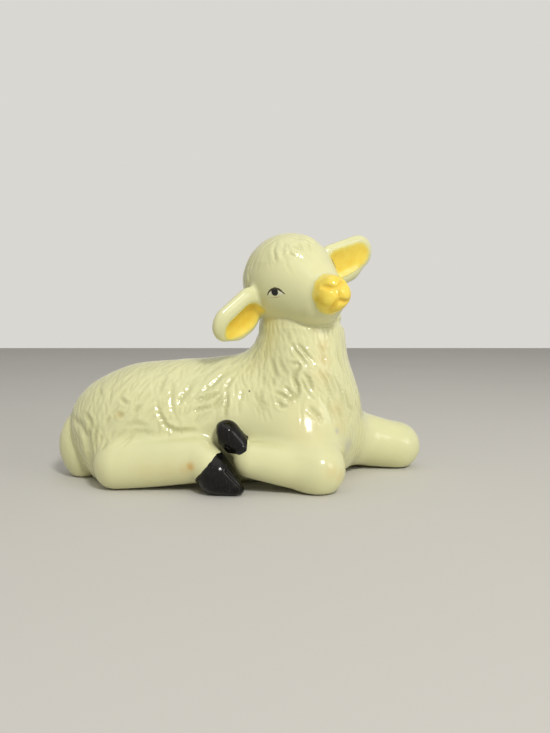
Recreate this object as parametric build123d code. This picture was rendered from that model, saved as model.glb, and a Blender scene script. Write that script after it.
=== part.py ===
from build123d import *
from math import asin, cos, degrees, radians, sin
import os

# A glazed ceramic lamb ornament, lying down with its head turned out to its right.
# The body and the head are thin slip-cast shells round one casting cavity. The ears, muzzle,
# tail, legs and hooves are solid castings stuck on with slip, each seated on what carries it.
# Frame: +X the way the body points, +Y the lamb's left, +Z up, origin at the bottom centre.
# Lengths are millimetres and angles are degrees.

# Body shell: the barrel lies level behind the nape, and the chest and neck fan round the nape.
barrel_length = 52.0
barrel_width = 36.0
back_height = 38.9
nape_setback = 3.6
nape_radius = 8.6
chest_reach = 57.5
neck_rise = 9.5
body_wall = 3.0
throat_radius = 5.5
vent_diameter = 3.5

# Head shell: a skull ball and a snout ball in one skin, turned out, lowered and tilted.
skull_radius = 14.4
snout_radius = 9.0
snout_ahead = 11.6
snout_drop = 2.8
head_ahead = 18.4
head_out = 3.0
head_lift = 14.9
head_wall = 2.6
head_turn = 51.4
head_drop = 15.2
head_tilt = 25.0

# Muzzle: a ball with a nose knob and a chin, parted by the mouth.
muzzle_radius = 5.6
muzzle_ahead = 19.1
nose_radius = 3.4
chin_radius = 3.0
lobe_reach = 2.9
crease_width = 1.0
crease_end_width = 0.7

# Ears: flattened leaves with a scooped hollow.
ear_length = 21.0
ear_width = 12.2
ear_root_width = 12.6
ear_droop = 1.3
ear_thickness = 5.6
ear_rim = 1.1
ear_hollow = 2.0
ear_root_depth = 3.5

# Tail: a leaf hanging down the rump to a blunt tip.
tail_length = 25.0
tail_width = 14.4
tail_tip_radius = 1.0

# Legs: each is two balls in one skin, and a foreleg is an upper arm and a folded lower leg.
hock_radius = 7.6
shank_radius = 6.8
shoulder_radius = 9.6
knee_radius = 7.6
cannon_radius = 7.2
ankle_radius = 5.3

# Hooves: a heel ball running out to a toe, with the cleft between the two toes. Two facets cut
# the hind hoof to a blunt point on top.
heel_radius = 6.0
toe_radius = 2.6
hoof_length = 6.6
back_facet_reach = 4.2
front_facet_reach = 4.8
fore_heel_radius = 4.6
fore_toe_radius = 3.4
fore_hoof_length = 5.0
cleft_width = 1.0

# Barrel stations from the rump to the nape: the distance behind the nape as a share of
# barrel_length, the top and the underside as shares of back_height, and the half width as a
# share of half the barrel_width.
barrel_station_shares = (
    (0.985, 0.53, 0.34, 0.14),
    (0.94, 0.65, 0.20, 0.46),
    (0.82, 0.80, -0.03, 0.82),
    (0.62, 0.918, -0.077, 0.98),
    (0.36, 0.96, -0.077, 1.0),
    (0.12, 0.98, -0.077, 0.98),
)

# Chest stations fan round the nape: the angle below level, the reach from the nape's centre as a
# share of chest_reach, and the half width as a share of half the barrel_width.
chest_station_shares = (
    (78.0, 0.90, 0.97),
    (62.0, 0.99, 1.0),
    (47.0, 0.99, 1.0),
    (32.0, 0.85, 0.95),
    (16.0, 0.675, 0.84),
    (0.0, 0.617, 0.76),
)

# Neck stations above the nape's centre: the height as a share of neck_rise, the back and front
# as shares of chest_reach, and the half width as a share of half the barrel_width.
neck_station_shares = (
    (0.45, 0.16, 0.60, 0.70),
    (1.0, 0.22, 0.54, 0.54),
)
throat_ahead_share = 0.36

# How far the two pulls of a quarter of an oval reach, as a share of its radii.
quarter_pull_share = 0.5523

# Places on the body: ahead of the nape as a share of chest_reach or, below zero, behind it as a
# share of barrel_length, out to the side as a share of half the barrel_width, and up as a share
# of back_height.
tail_root_shares = (-0.955, 0.0, 0.56)
tail_way_shares = (0.12, 0.0, -1.0)
hock_shares = (-0.63, 0.87, 0.18)
shank_shares = (-0.18, 1.00, 0.23)
shoulder_shares = {"right": (0.30, 0.34, 0.46), "left": (0.60, 0.58, 0.30)}
knee_shares = {"right": (0.455, 1.14, 0.17), "left": (0.955, 0.68, 0.19)}
ankle_shares = {"right": (0.12, 1.17, 0.245), "left": (0.46, 1.02, 0.15)}
hind_heel_shares = (-0.055, 1.24, 0.145)
hind_toe_way_shares = (0.86, 0.35, -0.50)
fore_heel_shares = {"right": (-0.005, 1.10, 0.44), "left": (0.33, 1.06, 0.15)}
fore_toe_way_shares = {"right": (0.68, 0.10, -0.73), "left": (-1.0, 0.10, -0.10)}
hoof_ridge_shares = (0.0, 0.7, 0.7)
back_facet_shares = (-0.77, 0.0, 0.64)
front_facet_shares = (0.81, 0.0, 0.58)

# The muzzle in the head's own directions, as shares ahead, to its left, and up: its two lobes,
# and the ends of the nostrils, of the crease under the nose and of the two lips.
nose_shares = (0.55, 0.0, 0.83)
chin_shares = (0.30, 0.0, -0.95)
crease_shares = (
    ((0.96, 0.12, 0.20), (0.66, 0.58, 0.46)),
    ((0.96, -0.12, 0.20), (0.66, -0.58, 0.46)),
    ((1.0, 0.0, 0.12), (0.96, 0.0, -0.26)),
    ((0.96, 0.0, -0.26), (0.66, 0.50, -0.60)),
    ((0.96, 0.0, -0.26), (0.66, -0.50, -0.60)),
)

# Ears in the head's own directions, as shares ahead, out to the ear's own side, and up.
ear_way_shares = {"right": (0.09, 0.97, -0.20), "left": (0.13, 0.98, 0.0)}
ear_face_shares = (1.0, 0.0, -0.15)

# The nape's centre and the head's own directions, worked out from the sizes above.
SIDES = {"right": -1, "left": 1}
nape = Vector(-nape_setback, 0, back_height + nape_radius)
head_centre = nape + Vector(head_ahead, -head_out, head_lift)
head_forward = Vector(
    cos(radians(head_drop)) * cos(radians(head_turn)),
    -cos(radians(head_drop)) * sin(radians(head_turn)),
    -sin(radians(head_drop)),
)
level_left = Vector(sin(radians(head_turn)), cos(radians(head_turn)), 0)
head_left = level_left.rotate(Axis((0, 0, 0), head_forward), head_tilt)
head_up = head_forward.cross(head_left)


def on_body(shares, side):
    """The place on the body that three shares name, on one side."""
    ahead, out, up = shares
    length = chest_reach if ahead > 0 else barrel_length
    return Vector(-nape_setback + ahead * length, side * out * barrel_width / 2, up * back_height)


def pointing(shares, side):
    """The direction that three shares name, on one side."""
    ahead, out, up = shares
    return Vector(ahead, side * out, up).normalized()


def in_head(shares, side):
    """The direction that three shares name among the head's own directions, on one side."""
    ahead, out, up = shares
    return (head_forward * ahead + head_left * (side * out) + head_up * up).normalized()


def laid_along(form, start, way, face):
    """A form moved so that its X axis runs from start along way and its Z axis faces face."""
    across = face - way * face.dot(way)
    return Plane(origin=start, x_dir=way, z_dir=across.normalized()) * form


def limb(start, start_radius, end, end_radius, thickness=None, face=Vector(0, 0, 1)):
    """Two balls joined by the cone that touches both, turned as one form.

    Where thickness is given, the form is pressed to that thickness across its first ball.
    """
    span = (end - start).length
    lean = degrees(asin((start_radius - end_radius) / span))
    near_arc = CenterArc((0, 0), start_radius, 180, -90 - lean)
    far_arc = CenterArc((span, 0), end_radius, 90 - lean, lean - 90)
    flank = Line(near_arc @ 1, far_arc @ 0)
    form = revolve(make_face([near_arc, flank, far_arc, Line(far_arc @ 1, near_arc @ 0)]), Axis.X)
    if thickness:
        form = scale(form, by=(1, 1, thickness / 2 / max(start_radius, end_radius)))
    return laid_along(form, start, (end - start).normalized(), face)


def above_ground(shape):
    """The part of a shape above the surface that the lamb lies on."""
    if shape.bounding_box().min.Z < 0:
        return split(shape, bisect_by=Plane.XY, keep=Keep.TOP)
    return shape


def oval(middle, normal, long_way, long_radius, wide_radius):
    """One oval section of the body, as four quarters of which the first starts on its long way."""
    ends = (
        Vector(long_radius, 0),
        Vector(0, wide_radius),
        Vector(-long_radius, 0),
        Vector(0, -wide_radius),
    )
    quarters = []
    for start, end in zip(ends, ends[1:] + ends[:1]):
        pulls = start + end * quarter_pull_share, end + start * quarter_pull_share
        quarters.append(Bezier(start, *pulls, end))
    return Plane(middle, x_dir=long_way, z_dir=normal) * make_face(quarters)


def body_form(inset):
    """The barrel, chest and neck in one loft, with its surface moved in by inset.

    Moved in, it leaves out the sections that are too small for it and the neck above the nape.
    """
    sections = []
    for behind, top, under, width in barrel_station_shares:
        tall = (top - under) * back_height / 2 - inset
        wide = width * barrel_width / 2 - inset
        if min(tall, wide) > inset:
            middle = Vector(nape.X - behind * barrel_length, 0, (top + under) * back_height / 2)
            sections.append(oval(middle, Vector(1, 0, 0), Vector(0, 0, 1), tall, wide))
    for angle, reach, width in chest_station_shares:
        way = Vector(cos(radians(angle)), 0, -sin(radians(angle)))
        far = reach * chest_reach
        middle = nape + way * ((far + nape_radius) / 2)
        deep = (far - nape_radius) / 2 - inset
        wide = width * barrel_width / 2 - inset
        sections.append(oval(middle, Vector(-way.Z, 0, way.X), -way, deep, wide))
    if inset:
        return loft(sections)
    for rise, back, front, width in neck_station_shares:
        middle = nape + Vector((back + front) * chest_reach / 2, 0, rise * neck_rise)
        deep = (front - back) * chest_reach / 2
        sections.append(oval(middle, Vector(0, 0, 1), Vector(-1, 0, 0), deep, width * barrel_width / 2))
    return loft(sections)


def head_form(inset):
    """The skull and snout about the head's centre, with their surface moved in by inset."""
    snout_centre = head_forward * snout_ahead - head_up * snout_drop
    return limb(
        Vector(0, 0, 0), skull_radius - inset, snout_centre, snout_radius - inset, face=head_up
    )


def make_muzzle():
    """The muzzle about the head's centre, with its nose knob, its chin and its creases."""
    centre = head_forward * muzzle_ahead
    ball = laid_along(Sphere(muzzle_radius), centre, head_left, head_forward)
    for radius, shares in ((nose_radius, nose_shares), (chin_radius, chin_shares)):
        ball += Pos(centre + in_head(shares, 1) * lobe_reach) * Sphere(radius)
    for start_shares, end_shares in crease_shares:
        start = centre + in_head(start_shares, 1) * muzzle_radius
        end = centre + in_head(end_shares, 1) * muzzle_radius
        ball -= limb(start, crease_width / 2, end, crease_end_width / 2)
    return ball


def make_ear(name):
    """One ear about the head's centre, a flattened leaf with a hollow in its forward face."""
    side = SIDES[name]
    way = in_head(ear_way_shares[name], side)
    face = in_head(ear_face_shares, side)
    face = (face - way * face.dot(way)).normalized()
    root_radius = ear_root_width / 2
    tip_radius = ear_width / 2
    seat_middle = head_left * (side * skull_radius) - head_up * ear_droop
    root = seat_middle - way * (ear_root_depth - root_radius)
    tip = root + way * (ear_length - root_radius - tip_radius)
    leaf = limb(root, root_radius, tip, tip_radius, ear_thickness, face)
    lift = face * (ear_thickness / 2)
    scoop = limb(
        root + lift, root_radius - ear_rim, tip + lift, tip_radius - ear_rim, ear_hollow * 2, face
    )
    return leaf - scoop


def make_tail():
    """The tail, a leaf that starts in the rump and swells before it narrows to its tip."""
    edge = Polyline((tail_length, tail_tip_radius), (tail_length, 0), (0, 0))
    swell = ThreePointArc(edge @ 1, (tail_length / 2, tail_width / 2), edge @ 0)
    form = revolve(make_face([swell, edge]), Axis.X)
    return laid_along(form, on_body(tail_root_shares, 1), pointing(tail_way_shares, 1), Vector(1, 0, 0))


def make_foreleg(name):
    """The upper arm down to the knee and the lower leg folded back from it."""
    shoulder, knee, ankle = (
        on_body(places[name], SIDES[name]) for places in (shoulder_shares, knee_shares, ankle_shares)
    )
    upper_arm = limb(shoulder, shoulder_radius, knee, knee_radius)
    return upper_arm + limb(ankle, ankle_radius, knee, cannon_radius)


def make_hoof(heel, way, ridge, heel_size, toe_size, length):
    """A hoof from its heel ball to its toe ball, with the cleft along the face that is its ridge."""
    toe = heel + way * length
    lean = asin((heel_size - toe_size) / length)
    across = (ridge - way * ridge.dot(way)).normalized()
    out = way * sin(lean) + across * cos(lean)
    cleft_radius = cleft_width / 2
    cleft = limb(heel + out * heel_size, cleft_radius, toe + out * toe_size, cleft_radius)
    return limb(heel, heel_size, toe, toe_size) - cleft


def make_hind_hoof(side):
    """The hind hoof of one side, with its two facets."""
    heel = on_body(hind_heel_shares, side)
    way = pointing(hind_toe_way_shares, side)
    ridge = pointing(hoof_ridge_shares, side)
    hoof = make_hoof(heel, way, ridge, heel_radius, toe_radius, hoof_length)
    facets = (back_facet_shares, back_facet_reach), (front_facet_shares, front_facet_reach)
    for shares, reach in facets:
        out = pointing(shares, side)
        hoof = split(hoof, bisect_by=Plane(heel + out * reach, z_dir=out), keep=Keep.BOTTOM)
    return hoof


def make_leg_forms(name):
    """The hind leg, foreleg and hooves of one side, whole, in the order in which they seat."""
    side = SIDES[name]
    hock = on_body(hock_shares, side)
    shank = on_body(shank_shares, side)
    ridge = pointing(hoof_ridge_shares, side)
    fore_heel = on_body(fore_heel_shares[name], side)
    fore_way = pointing(fore_toe_way_shares[name], side)
    fore_sizes = (fore_heel_radius, fore_toe_radius, fore_hoof_length)
    return {
        "hind_leg": limb(hock, hock_radius, shank, shank_radius),
        "foreleg": make_foreleg(name),
        "hind_hoof": make_hind_hoof(side),
        "fore_hoof": make_hoof(fore_heel, fore_way, ridge, *fore_sizes),
    }


def seat(shape, *carriers):
    """The one solid left of a shape once what carries it is cut away."""
    for carrier in carriers:
        shape = shape - carrier
    return max(shape.solids(), key=lambda solid: solid.volume)


def make_pieces():
    """Every piece of the lamb by name, each one solid."""
    solid_body = above_ground(body_form(0))
    whole_head = head_form(0)
    in_place = Pos(head_centre)
    solid_head = in_place * whole_head
    cavity = split(body_form(body_wall), bisect_by=Plane.XY.offset(body_wall), keep=Keep.TOP)
    throat_middle = nape + Vector(throat_ahead_share * chest_reach, 0, neck_rise / 2)
    throat = Pos(throat_middle) * Cylinder(throat_radius, neck_rise + body_wall * 2)
    vent = Cylinder(vent_diameter / 2, back_height / 2)
    pieces = {
        "body_shell": seat(solid_body, solid_head, cavity, throat, vent),
        "head_shell": seat(solid_head, in_place * head_form(head_wall), throat),
        "muzzle": in_place * seat(make_muzzle(), whole_head),
        "tail": above_ground(seat(make_tail(), solid_body)),
    }
    for name in SIDES:
        pieces[name + "_ear"] = in_place * seat(make_ear(name), whole_head)
        carriers = [solid_body]
        for part, form in make_leg_forms(name).items():
            pieces[name + "_" + part] = above_ground(seat(form, *carriers))
            carriers.append(form)
    return pieces


def main():
    """Write every piece as a STEP file of its own."""
    os.makedirs("parts", exist_ok=True)
    for name, shape in make_pieces().items():
        export_step(shape, "parts/" + name + ".step")


main()
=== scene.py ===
"""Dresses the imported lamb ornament: one glazed skin with modelled wool, in a plain studio.

The lamb is modelled as one field of soft forms in the CAD model's own places and sizes. The field
is turned into the skin, into which the wool is pressed stroke by stroke, and into the coats of
paint that lie on it. Lengths are millimetres until a mesh, a lamp or a pattern is made, which
Blender takes in metres.
"""

import logging
import math
from abc import ABC, abstractmethod
from dataclasses import dataclass
from enum import Enum
from functools import cached_property

import bpy
import numpy as np
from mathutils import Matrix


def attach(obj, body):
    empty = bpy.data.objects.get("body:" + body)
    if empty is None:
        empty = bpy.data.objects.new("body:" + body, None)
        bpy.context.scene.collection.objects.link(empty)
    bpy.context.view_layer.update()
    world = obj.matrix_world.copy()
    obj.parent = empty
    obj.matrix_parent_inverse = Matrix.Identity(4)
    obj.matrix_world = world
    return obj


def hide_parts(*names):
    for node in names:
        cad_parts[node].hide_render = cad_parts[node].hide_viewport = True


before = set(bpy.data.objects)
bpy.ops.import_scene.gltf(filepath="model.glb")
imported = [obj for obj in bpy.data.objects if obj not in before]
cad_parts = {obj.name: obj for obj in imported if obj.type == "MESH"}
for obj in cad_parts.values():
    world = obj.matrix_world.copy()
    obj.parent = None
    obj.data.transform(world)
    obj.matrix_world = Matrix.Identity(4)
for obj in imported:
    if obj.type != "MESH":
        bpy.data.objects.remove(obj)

import openvdb
from mathutils import Vector
from mathutils.kdtree import KDTree

log = logging.getLogger("lamb")

MM = 0.001
FAR = 1.0e3

# Sizes of the body, as in the CAD model, in millimetres.
BARREL_LENGTH = 52.0
BARREL_WIDTH = 36.0
BACK_HEIGHT = 38.9
NAPE_SETBACK = 3.6
NAPE_RADIUS = 8.6
CHEST_REACH = 57.5
NECK_RISE = 9.5

# Sizes of the head, in millimetres and degrees.
SKULL_RADIUS = 14.4
MUZZLE_AHEAD = 19.1
HEAD_AHEAD = 18.4
HEAD_OUT = 3.0
HEAD_LIFT = 14.9
HEAD_TURN = 51.4
HEAD_DROP = 15.2
HEAD_TILT = 25.0

# Sections of the torso from the rump, round the nape and up the neck. The place runs from -1 at
# the rump to 0 above the elbow, 1 at the throat and 2 under the jaw. The near and far edges are
# millimetres from the nape's centre line, and so is the half width from the middle plane.
TORSO_SECTIONS = (
    (-1.0, 31.0, 31.0, 0.0),
    (-0.985, 26.9, 34.3, 2.6),
    (-0.94, 22.2, 39.7, 8.3),
    (-0.82, 16.4, 48.7, 14.8),
    (-0.62, 11.8, 50.5, 17.6),
    (-0.36, 10.2, 50.5, 18.0),
    (-0.12, 9.4, 50.5, 17.6),
    (0.0, 8.7, 50.5, 17.5),
    (0.13, 8.6, 51.8, 17.5),
    (0.31, 8.6, 56.9, 18.0),
    (0.48, 8.6, 56.9, 18.0),
    (0.64, 8.6, 48.9, 17.1),
    (0.82, 8.6, 38.8, 15.1),
    (1.0, 8.6, 35.5, 13.7),
    (1.45, 9.2, 34.5, 12.6),
    (2.0, 12.6, 31.0, 9.7),
    (2.6, 15.0, 29.0, 8.0),
)


def vector(*parts: float) -> np.ndarray:
    """A vector of single-precision numbers.

    Args:
        parts: Its three parts.

    Returns:
        The vector as an array.
    """
    return np.array(parts, np.float32)


def unit(way: np.ndarray) -> np.ndarray:
    """A direction of length one.

    Args:
        way: The direction, or an array of directions.

    Returns:
        The same direction at length one.
    """
    return way / np.maximum(np.linalg.norm(way, axis=-1, keepdims=True), 1e-9)


def smooth_step(value: np.ndarray, low: float, high: float) -> np.ndarray:
    """A soft step from 0 at low to 1 at high.

    Args:
        value: Where the step is read.
        low: The value below which the step is 0.
        high: The value above which the step is 1.

    Returns:
        The step at each value.
    """
    t = np.clip((value - low) / (high - low), 0, 1)
    return t * t * (3 - 2 * t)


def joined(a: np.ndarray, b: np.ndarray, fillet: float) -> np.ndarray:
    """The field of two forms run together with a fillet between them.

    Args:
        a: The distances to one form.
        b: The distances to the other.
        fillet: How wide the fillet is.

    Returns:
        The distances to both.
    """
    overlap = np.maximum(fillet - np.abs(a - b), 0)
    return np.minimum(a, b) - overlap * overlap / (4 * fillet)


def cut_away(a: np.ndarray, b: np.ndarray, fillet: float) -> np.ndarray:
    """The field of one form with another taken out of it, with a rounded edge.

    Args:
        a: The distances to the form that is kept.
        b: The distances to the form that is taken away.
        fillet: How wide the rounded edge is.

    Returns:
        The distances to what is left.
    """
    return -joined(-a, b, fillet)


NAPE = vector(-NAPE_SETBACK, 0, BACK_HEIGHT + NAPE_RADIUS)
HEAD_CENTRE = NAPE + vector(HEAD_AHEAD, -HEAD_OUT, HEAD_LIFT)
TURN, DROP, TILT = (math.radians(angle) for angle in (HEAD_TURN, HEAD_DROP, HEAD_TILT))
HEAD_FORWARD = vector(
    math.cos(DROP) * math.cos(TURN), -math.cos(DROP) * math.sin(TURN), -math.sin(DROP)
)
LEVEL_LEFT = vector(math.sin(TURN), math.cos(TURN), 0)
HEAD_LEFT = LEVEL_LEFT * math.cos(TILT) + np.cross(HEAD_FORWARD, LEVEL_LEFT) * math.sin(TILT)
HEAD_UP = np.cross(HEAD_FORWARD, HEAD_LEFT)

# How the photograph was taken: its size and focal length in pixels, the camera's place in
# millimetres and how many degrees it looks down. Pixels are counted across from the photograph's
# left and down from its top.
PHOTO_PX = (550, 733)
FOCAL_PX = 640
CAMERA_PLACE = vector(10.1, -204.0, 49.4)
CAMERA_DROP = 4.0

# How a line of sight is followed to the lamb: how far off it starts, in how many steps it goes and
# what share of the gap each step takes.
SIGHT_START = 140.0
SIGHT_STEPS = 80
SIGHT_CARE = 0.8


def on_body(ahead: float, out: float, up: float, side: int) -> np.ndarray:
    """A place on the body from three shares, as in the CAD model.

    Args:
        ahead: Ahead of the nape as a share of the chest's reach or, below zero, of the barrel.
        out: Out to the side as a share of half the barrel's width.
        up: Up as a share of the back's height.
        side: -1 on the lamb's right and 1 on its left.

    Returns:
        The place in millimetres.
    """
    length = CHEST_REACH if ahead > 0 else BARREL_LENGTH
    return vector(-NAPE_SETBACK + ahead * length, side * out * BARREL_WIDTH / 2, up * BACK_HEIGHT)


def in_head(ahead: float, out: float, up: float, side: int = 1) -> np.ndarray:
    """A direction among the head's own.

    Args:
        ahead: Its share along the way that the head looks.
        out: Its share out to the side.
        up: Its share along the head's own up.
        side: -1 on the lamb's right and 1 on its left.

    Returns:
        The direction at length one.
    """
    return unit(HEAD_FORWARD * ahead + HEAD_LEFT * (side * out) + HEAD_UP * up)


class Side(Enum):
    """The two sides of the lamb."""

    RIGHT = -1
    LEFT = 1

    @property
    def prefix(self) -> str:
        """The start of the names of the nodes on this side."""
        return self.name.lower() + "_"


class HoofKind(Enum):
    """The two kinds of hoof, by the end of their CAD nodes' names."""

    HIND = "hind_hoof"
    FORE = "fore_hoof"


class Slot(Enum):
    """The record's material slots."""

    IVORY = "ivory_glaze"
    YELLOW = "yellow_glaze"
    BLACK = "black_glaze"


class Form(ABC):
    """A solid form, known by how far any point lies outside it."""

    @abstractmethod
    def distance(self, points: np.ndarray) -> np.ndarray:
        """How far points lie outside the form.

        Args:
            points: An array of points, in millimetres.

        Returns:
            The distances, below zero inside.
        """

    def bounds(self) -> tuple[np.ndarray, float] | None:
        """The centre and radius of a ball round the form, or None where it has no end."""
        return None

    def slope(self, points: np.ndarray, step: float = 0.02) -> np.ndarray:
        """The way in which the distance grows.

        Args:
            points: An array of points, in millimetres.
            step: How far apart the distance is read.

        Returns:
            The slope at each point.
        """
        rises = []
        for axis in np.eye(3, dtype=np.float32) * step:
            rises.append(self.distance(points + axis) - self.distance(points - axis))
        return np.stack(rises, axis=-1) / (2 * step)


@dataclass(frozen=True)
class Limb(Form):
    """Two balls joined by the cone that touches both, pressed flat where a thickness is given."""

    start: np.ndarray
    start_radius: float
    end: np.ndarray
    end_radius: float
    thickness: float = 0.0
    face: np.ndarray | None = None

    def bounds(self) -> tuple[np.ndarray, float]:
        """The centre and radius of a ball round the limb."""
        reach = float(np.linalg.norm(self.end - self.start)) / 2
        return (self.start + self.end) / 2, reach + max(self.start_radius, self.end_radius)

    def distance(self, points: np.ndarray) -> np.ndarray:
        """How far points lie outside the limb.

        Args:
            points: An array of points, in millimetres.

        Returns:
            The distances, below zero inside.
        """
        way = unit(self.end - self.start)
        span = float(np.linalg.norm(self.end - self.start))
        offset = points - self.start
        press = 1.0
        if self.thickness:
            face = unit(self.face - way * np.dot(self.face, way))
            press = self.thickness / 2 / max(self.start_radius, self.end_radius)
            offset = offset + (offset @ face)[:, None] * face * (1 / press - 1)
        along = offset @ way
        out = np.sqrt(np.maximum((offset * offset).sum(-1) - along * along, 0))
        lean = (self.start_radius - self.end_radius) / span
        flank = math.sqrt(1 - lean * lean)
        place = along * flank - out * lean
        found = out * flank + along * lean - self.start_radius
        at_start = np.hypot(out, along) - self.start_radius
        at_end = np.hypot(out, along - span) - self.end_radius
        found = np.where(place < 0, at_start, np.where(place > span * flank, at_end, found))
        return found * (press + (1 - press) * 0.5)


def ball(centre: np.ndarray, radius: float) -> Limb:
    """A ball, as a limb with next to no length.

    Args:
        centre: The ball's centre.
        radius: Its radius.

    Returns:
        The ball.
    """
    return Limb(centre, radius, centre + vector(0, 0, radius / 100), radius)


@dataclass(frozen=True)
class Leaf(Form):
    """A lemon-shaped leaf that comes to a point at both ends."""

    start: np.ndarray
    way: np.ndarray
    length: float
    width: float

    def bounds(self) -> tuple[np.ndarray, float]:
        """The centre and radius of a ball round the leaf."""
        return self.start + self.way * (self.length / 2), self.length / 2

    def distance(self, points: np.ndarray) -> np.ndarray:
        """How far points lie outside the leaf.

        Args:
            points: An array of points, in millimetres.

        Returns:
            The distances, below zero inside.
        """
        offset = points - self.start - self.way * (self.length / 2)
        along = offset @ self.way
        out = np.sqrt(np.maximum((offset * offset).sum(-1) - along * along, 0))
        half, rise = self.length / 2, self.width / 2
        radius = (half * half + rise * rise) / (2 * rise)
        return np.hypot(along, out + radius - rise) - radius


@dataclass(frozen=True)
class Torso(Form):
    """The barrel, chest and neck: oval sections that fan round the nape."""

    # The least squared half depth and half width, which keeps the rump's end from being a point.
    LEAST = 0.04

    sections: tuple[tuple[float, float, float, float], ...] = TORSO_SECTIONS
    samples: int = 600

    @cached_property
    def places(self) -> np.ndarray:
        """The places along the torso at which its curves are known."""
        return np.linspace(self.sections[0][0], self.sections[-1][0], self.samples)

    @cached_property
    def curves(self) -> tuple[np.ndarray, np.ndarray, np.ndarray]:
        """The curves that the sections lie on.

        Returns:
            The middle, the squared half depth and the squared half width at each place.
        """
        places, near, far, half_width = np.array(self.sections, float).T
        middle = self.through(places, (near + far) / 2)
        depth = self.through(places, ((far - near) / 2) ** 2)
        return middle, depth, self.through(places, half_width**2)

    def through(self, places: np.ndarray, values: np.ndarray) -> np.ndarray:
        """A smooth curve through the values at the sections.

        Args:
            places: Where the sections are.
            values: The values there.

        Returns:
            The value at each of the torso's own places.
        """
        slopes = np.gradient(values, places)
        i = np.clip(np.searchsorted(places, self.places, side="right") - 1, 0, len(places) - 2)
        gap = places[i + 1] - places[i]
        t = (self.places - places[i]) / gap
        return (
            (2 * t**3 - 3 * t**2 + 1) * values[i]
            + (t**3 - 2 * t**2 + t) * gap * slopes[i]
            + (3 * t**2 - 2 * t**3) * values[i + 1]
            + (t**3 - t**2) * gap * slopes[i + 1]
        )

    def place(self, points: np.ndarray) -> tuple[np.ndarray, np.ndarray]:
        """Where points lie along the torso, and how far from the nape's centre line.

        Args:
            points: An array of points, in millimetres.

        Returns:
            The places and the distances.
        """
        ahead = points[:, 0] - NAPE[0]
        below = NAPE[2] - points[:, 2]
        fan = 1 - np.arctan2(below, ahead) / (math.pi / 2)
        up_neck = 1 - below / NECK_RISE
        place = np.where(ahead < 0, ahead / BARREL_LENGTH, np.where(below > 0, fan, up_neck))
        reach = np.where(ahead < 0, below, np.where(below > 0, np.hypot(ahead, below), ahead))
        return place, reach

    def distance(self, points: np.ndarray) -> np.ndarray:
        """How far points lie outside the torso.

        Args:
            points: An array of points, in millimetres.

        Returns:
            The distances, below zero inside.
        """
        place, reach = self.place(points)
        middle, depth, width = (np.interp(place, self.places, curve) for curve in self.curves)
        depth = np.maximum(depth, self.LEAST)
        width = np.maximum(width, self.LEAST)
        u = reach - middle
        v = points[:, 1]
        ratio = np.sqrt(u * u / depth + v * v / width) + 1e-6
        steep = np.sqrt((u / depth) ** 2 + (v / width) ** 2) + 1e-6
        found = (ratio - 1) * ratio / steep
        past_rump = np.maximum(self.places[0] - place, 0) * BARREL_LENGTH
        past_jaw = np.maximum(place - self.places[-1], 0) * NECK_RISE
        return (found + past_rump + past_jaw).astype(np.float32)


@dataclass(frozen=True)
class Track(Form):
    """A round rod along a line of points, with its own radius at each."""

    points: np.ndarray
    radii: tuple[float, ...]

    def bounds(self) -> tuple[np.ndarray, float]:
        """The centre and radius of a ball round the rod."""
        middle = self.points.mean(0)
        return middle, float(np.linalg.norm(self.points - middle, axis=1).max()) + max(self.radii)

    def distance(self, points: np.ndarray) -> np.ndarray:
        """How far points lie outside the rod.

        Args:
            points: An array of points, in millimetres.

        Returns:
            The distances, below zero inside.
        """
        found = np.full(len(points), FAR, np.float32)
        for number, start in enumerate(self.points[:-1]):
            way = self.points[number + 1] - start
            share = np.clip(((points - start) @ way) / np.dot(way, way), 0, 1)
            radius = self.radii[number] + share * (self.radii[number + 1] - self.radii[number])
            apart = np.linalg.norm(points - start - share[:, None] * way, axis=1)
            found = np.minimum(found, apart - radius)
        return found


@dataclass(frozen=True)
class Beyond(Form):
    """Everything on one side of a flat plane."""

    place: np.ndarray
    way: np.ndarray

    def distance(self, points: np.ndarray) -> np.ndarray:
        """How far points lie on the near side of the plane."""
        return -((points - self.place) @ self.way)


@dataclass(frozen=True)
class Stack(Form):
    """Forms run together one after the other, each with its own fillet, and then cut."""

    # How far beyond a form and its fillet it is still worked out.
    NEAR = 5.0

    base: Form
    added: tuple[tuple[Form, float], ...] = ()
    removed: tuple[tuple[Form, float], ...] = ()
    foot_fillet: float = 0.0

    def bounds(self) -> tuple[np.ndarray, float] | None:
        """The centre and radius of a ball round the joined forms, or None where there is none.

        Returns:
            The centre and the radius.
        """
        balls = [form.bounds() for form in (self.base, *(form for form, _ in self.added))]
        if any(each is None for each in balls):
            return None
        middle = balls[0][0]
        return middle, max(float(np.linalg.norm(centre - middle)) + reach for centre, reach in balls)

    def distance(self, points: np.ndarray) -> np.ndarray:
        """How far points lie outside what is left of the joined forms.

        Args:
            points: An array of points, in millimetres.

        Returns:
            The distances, below zero inside.
        """
        found = self.base.distance(points)
        for forms, combine in ((self.added, joined), (self.removed, cut_away)):
            for form, fillet in forms:
                near = slice(None)
                ball_round = form.bounds()
                if ball_round:
                    middle, reach = ball_round
                    near = ((points - middle) ** 2).sum(-1) < (reach + fillet + self.NEAR) ** 2
                    if not near.any():
                        continue
                found[near] = combine(found[near], form.distance(points[near]), fillet)
        if self.foot_fillet:
            found = cut_away(found, points[:, 2], self.foot_fillet)
        return found


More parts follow.
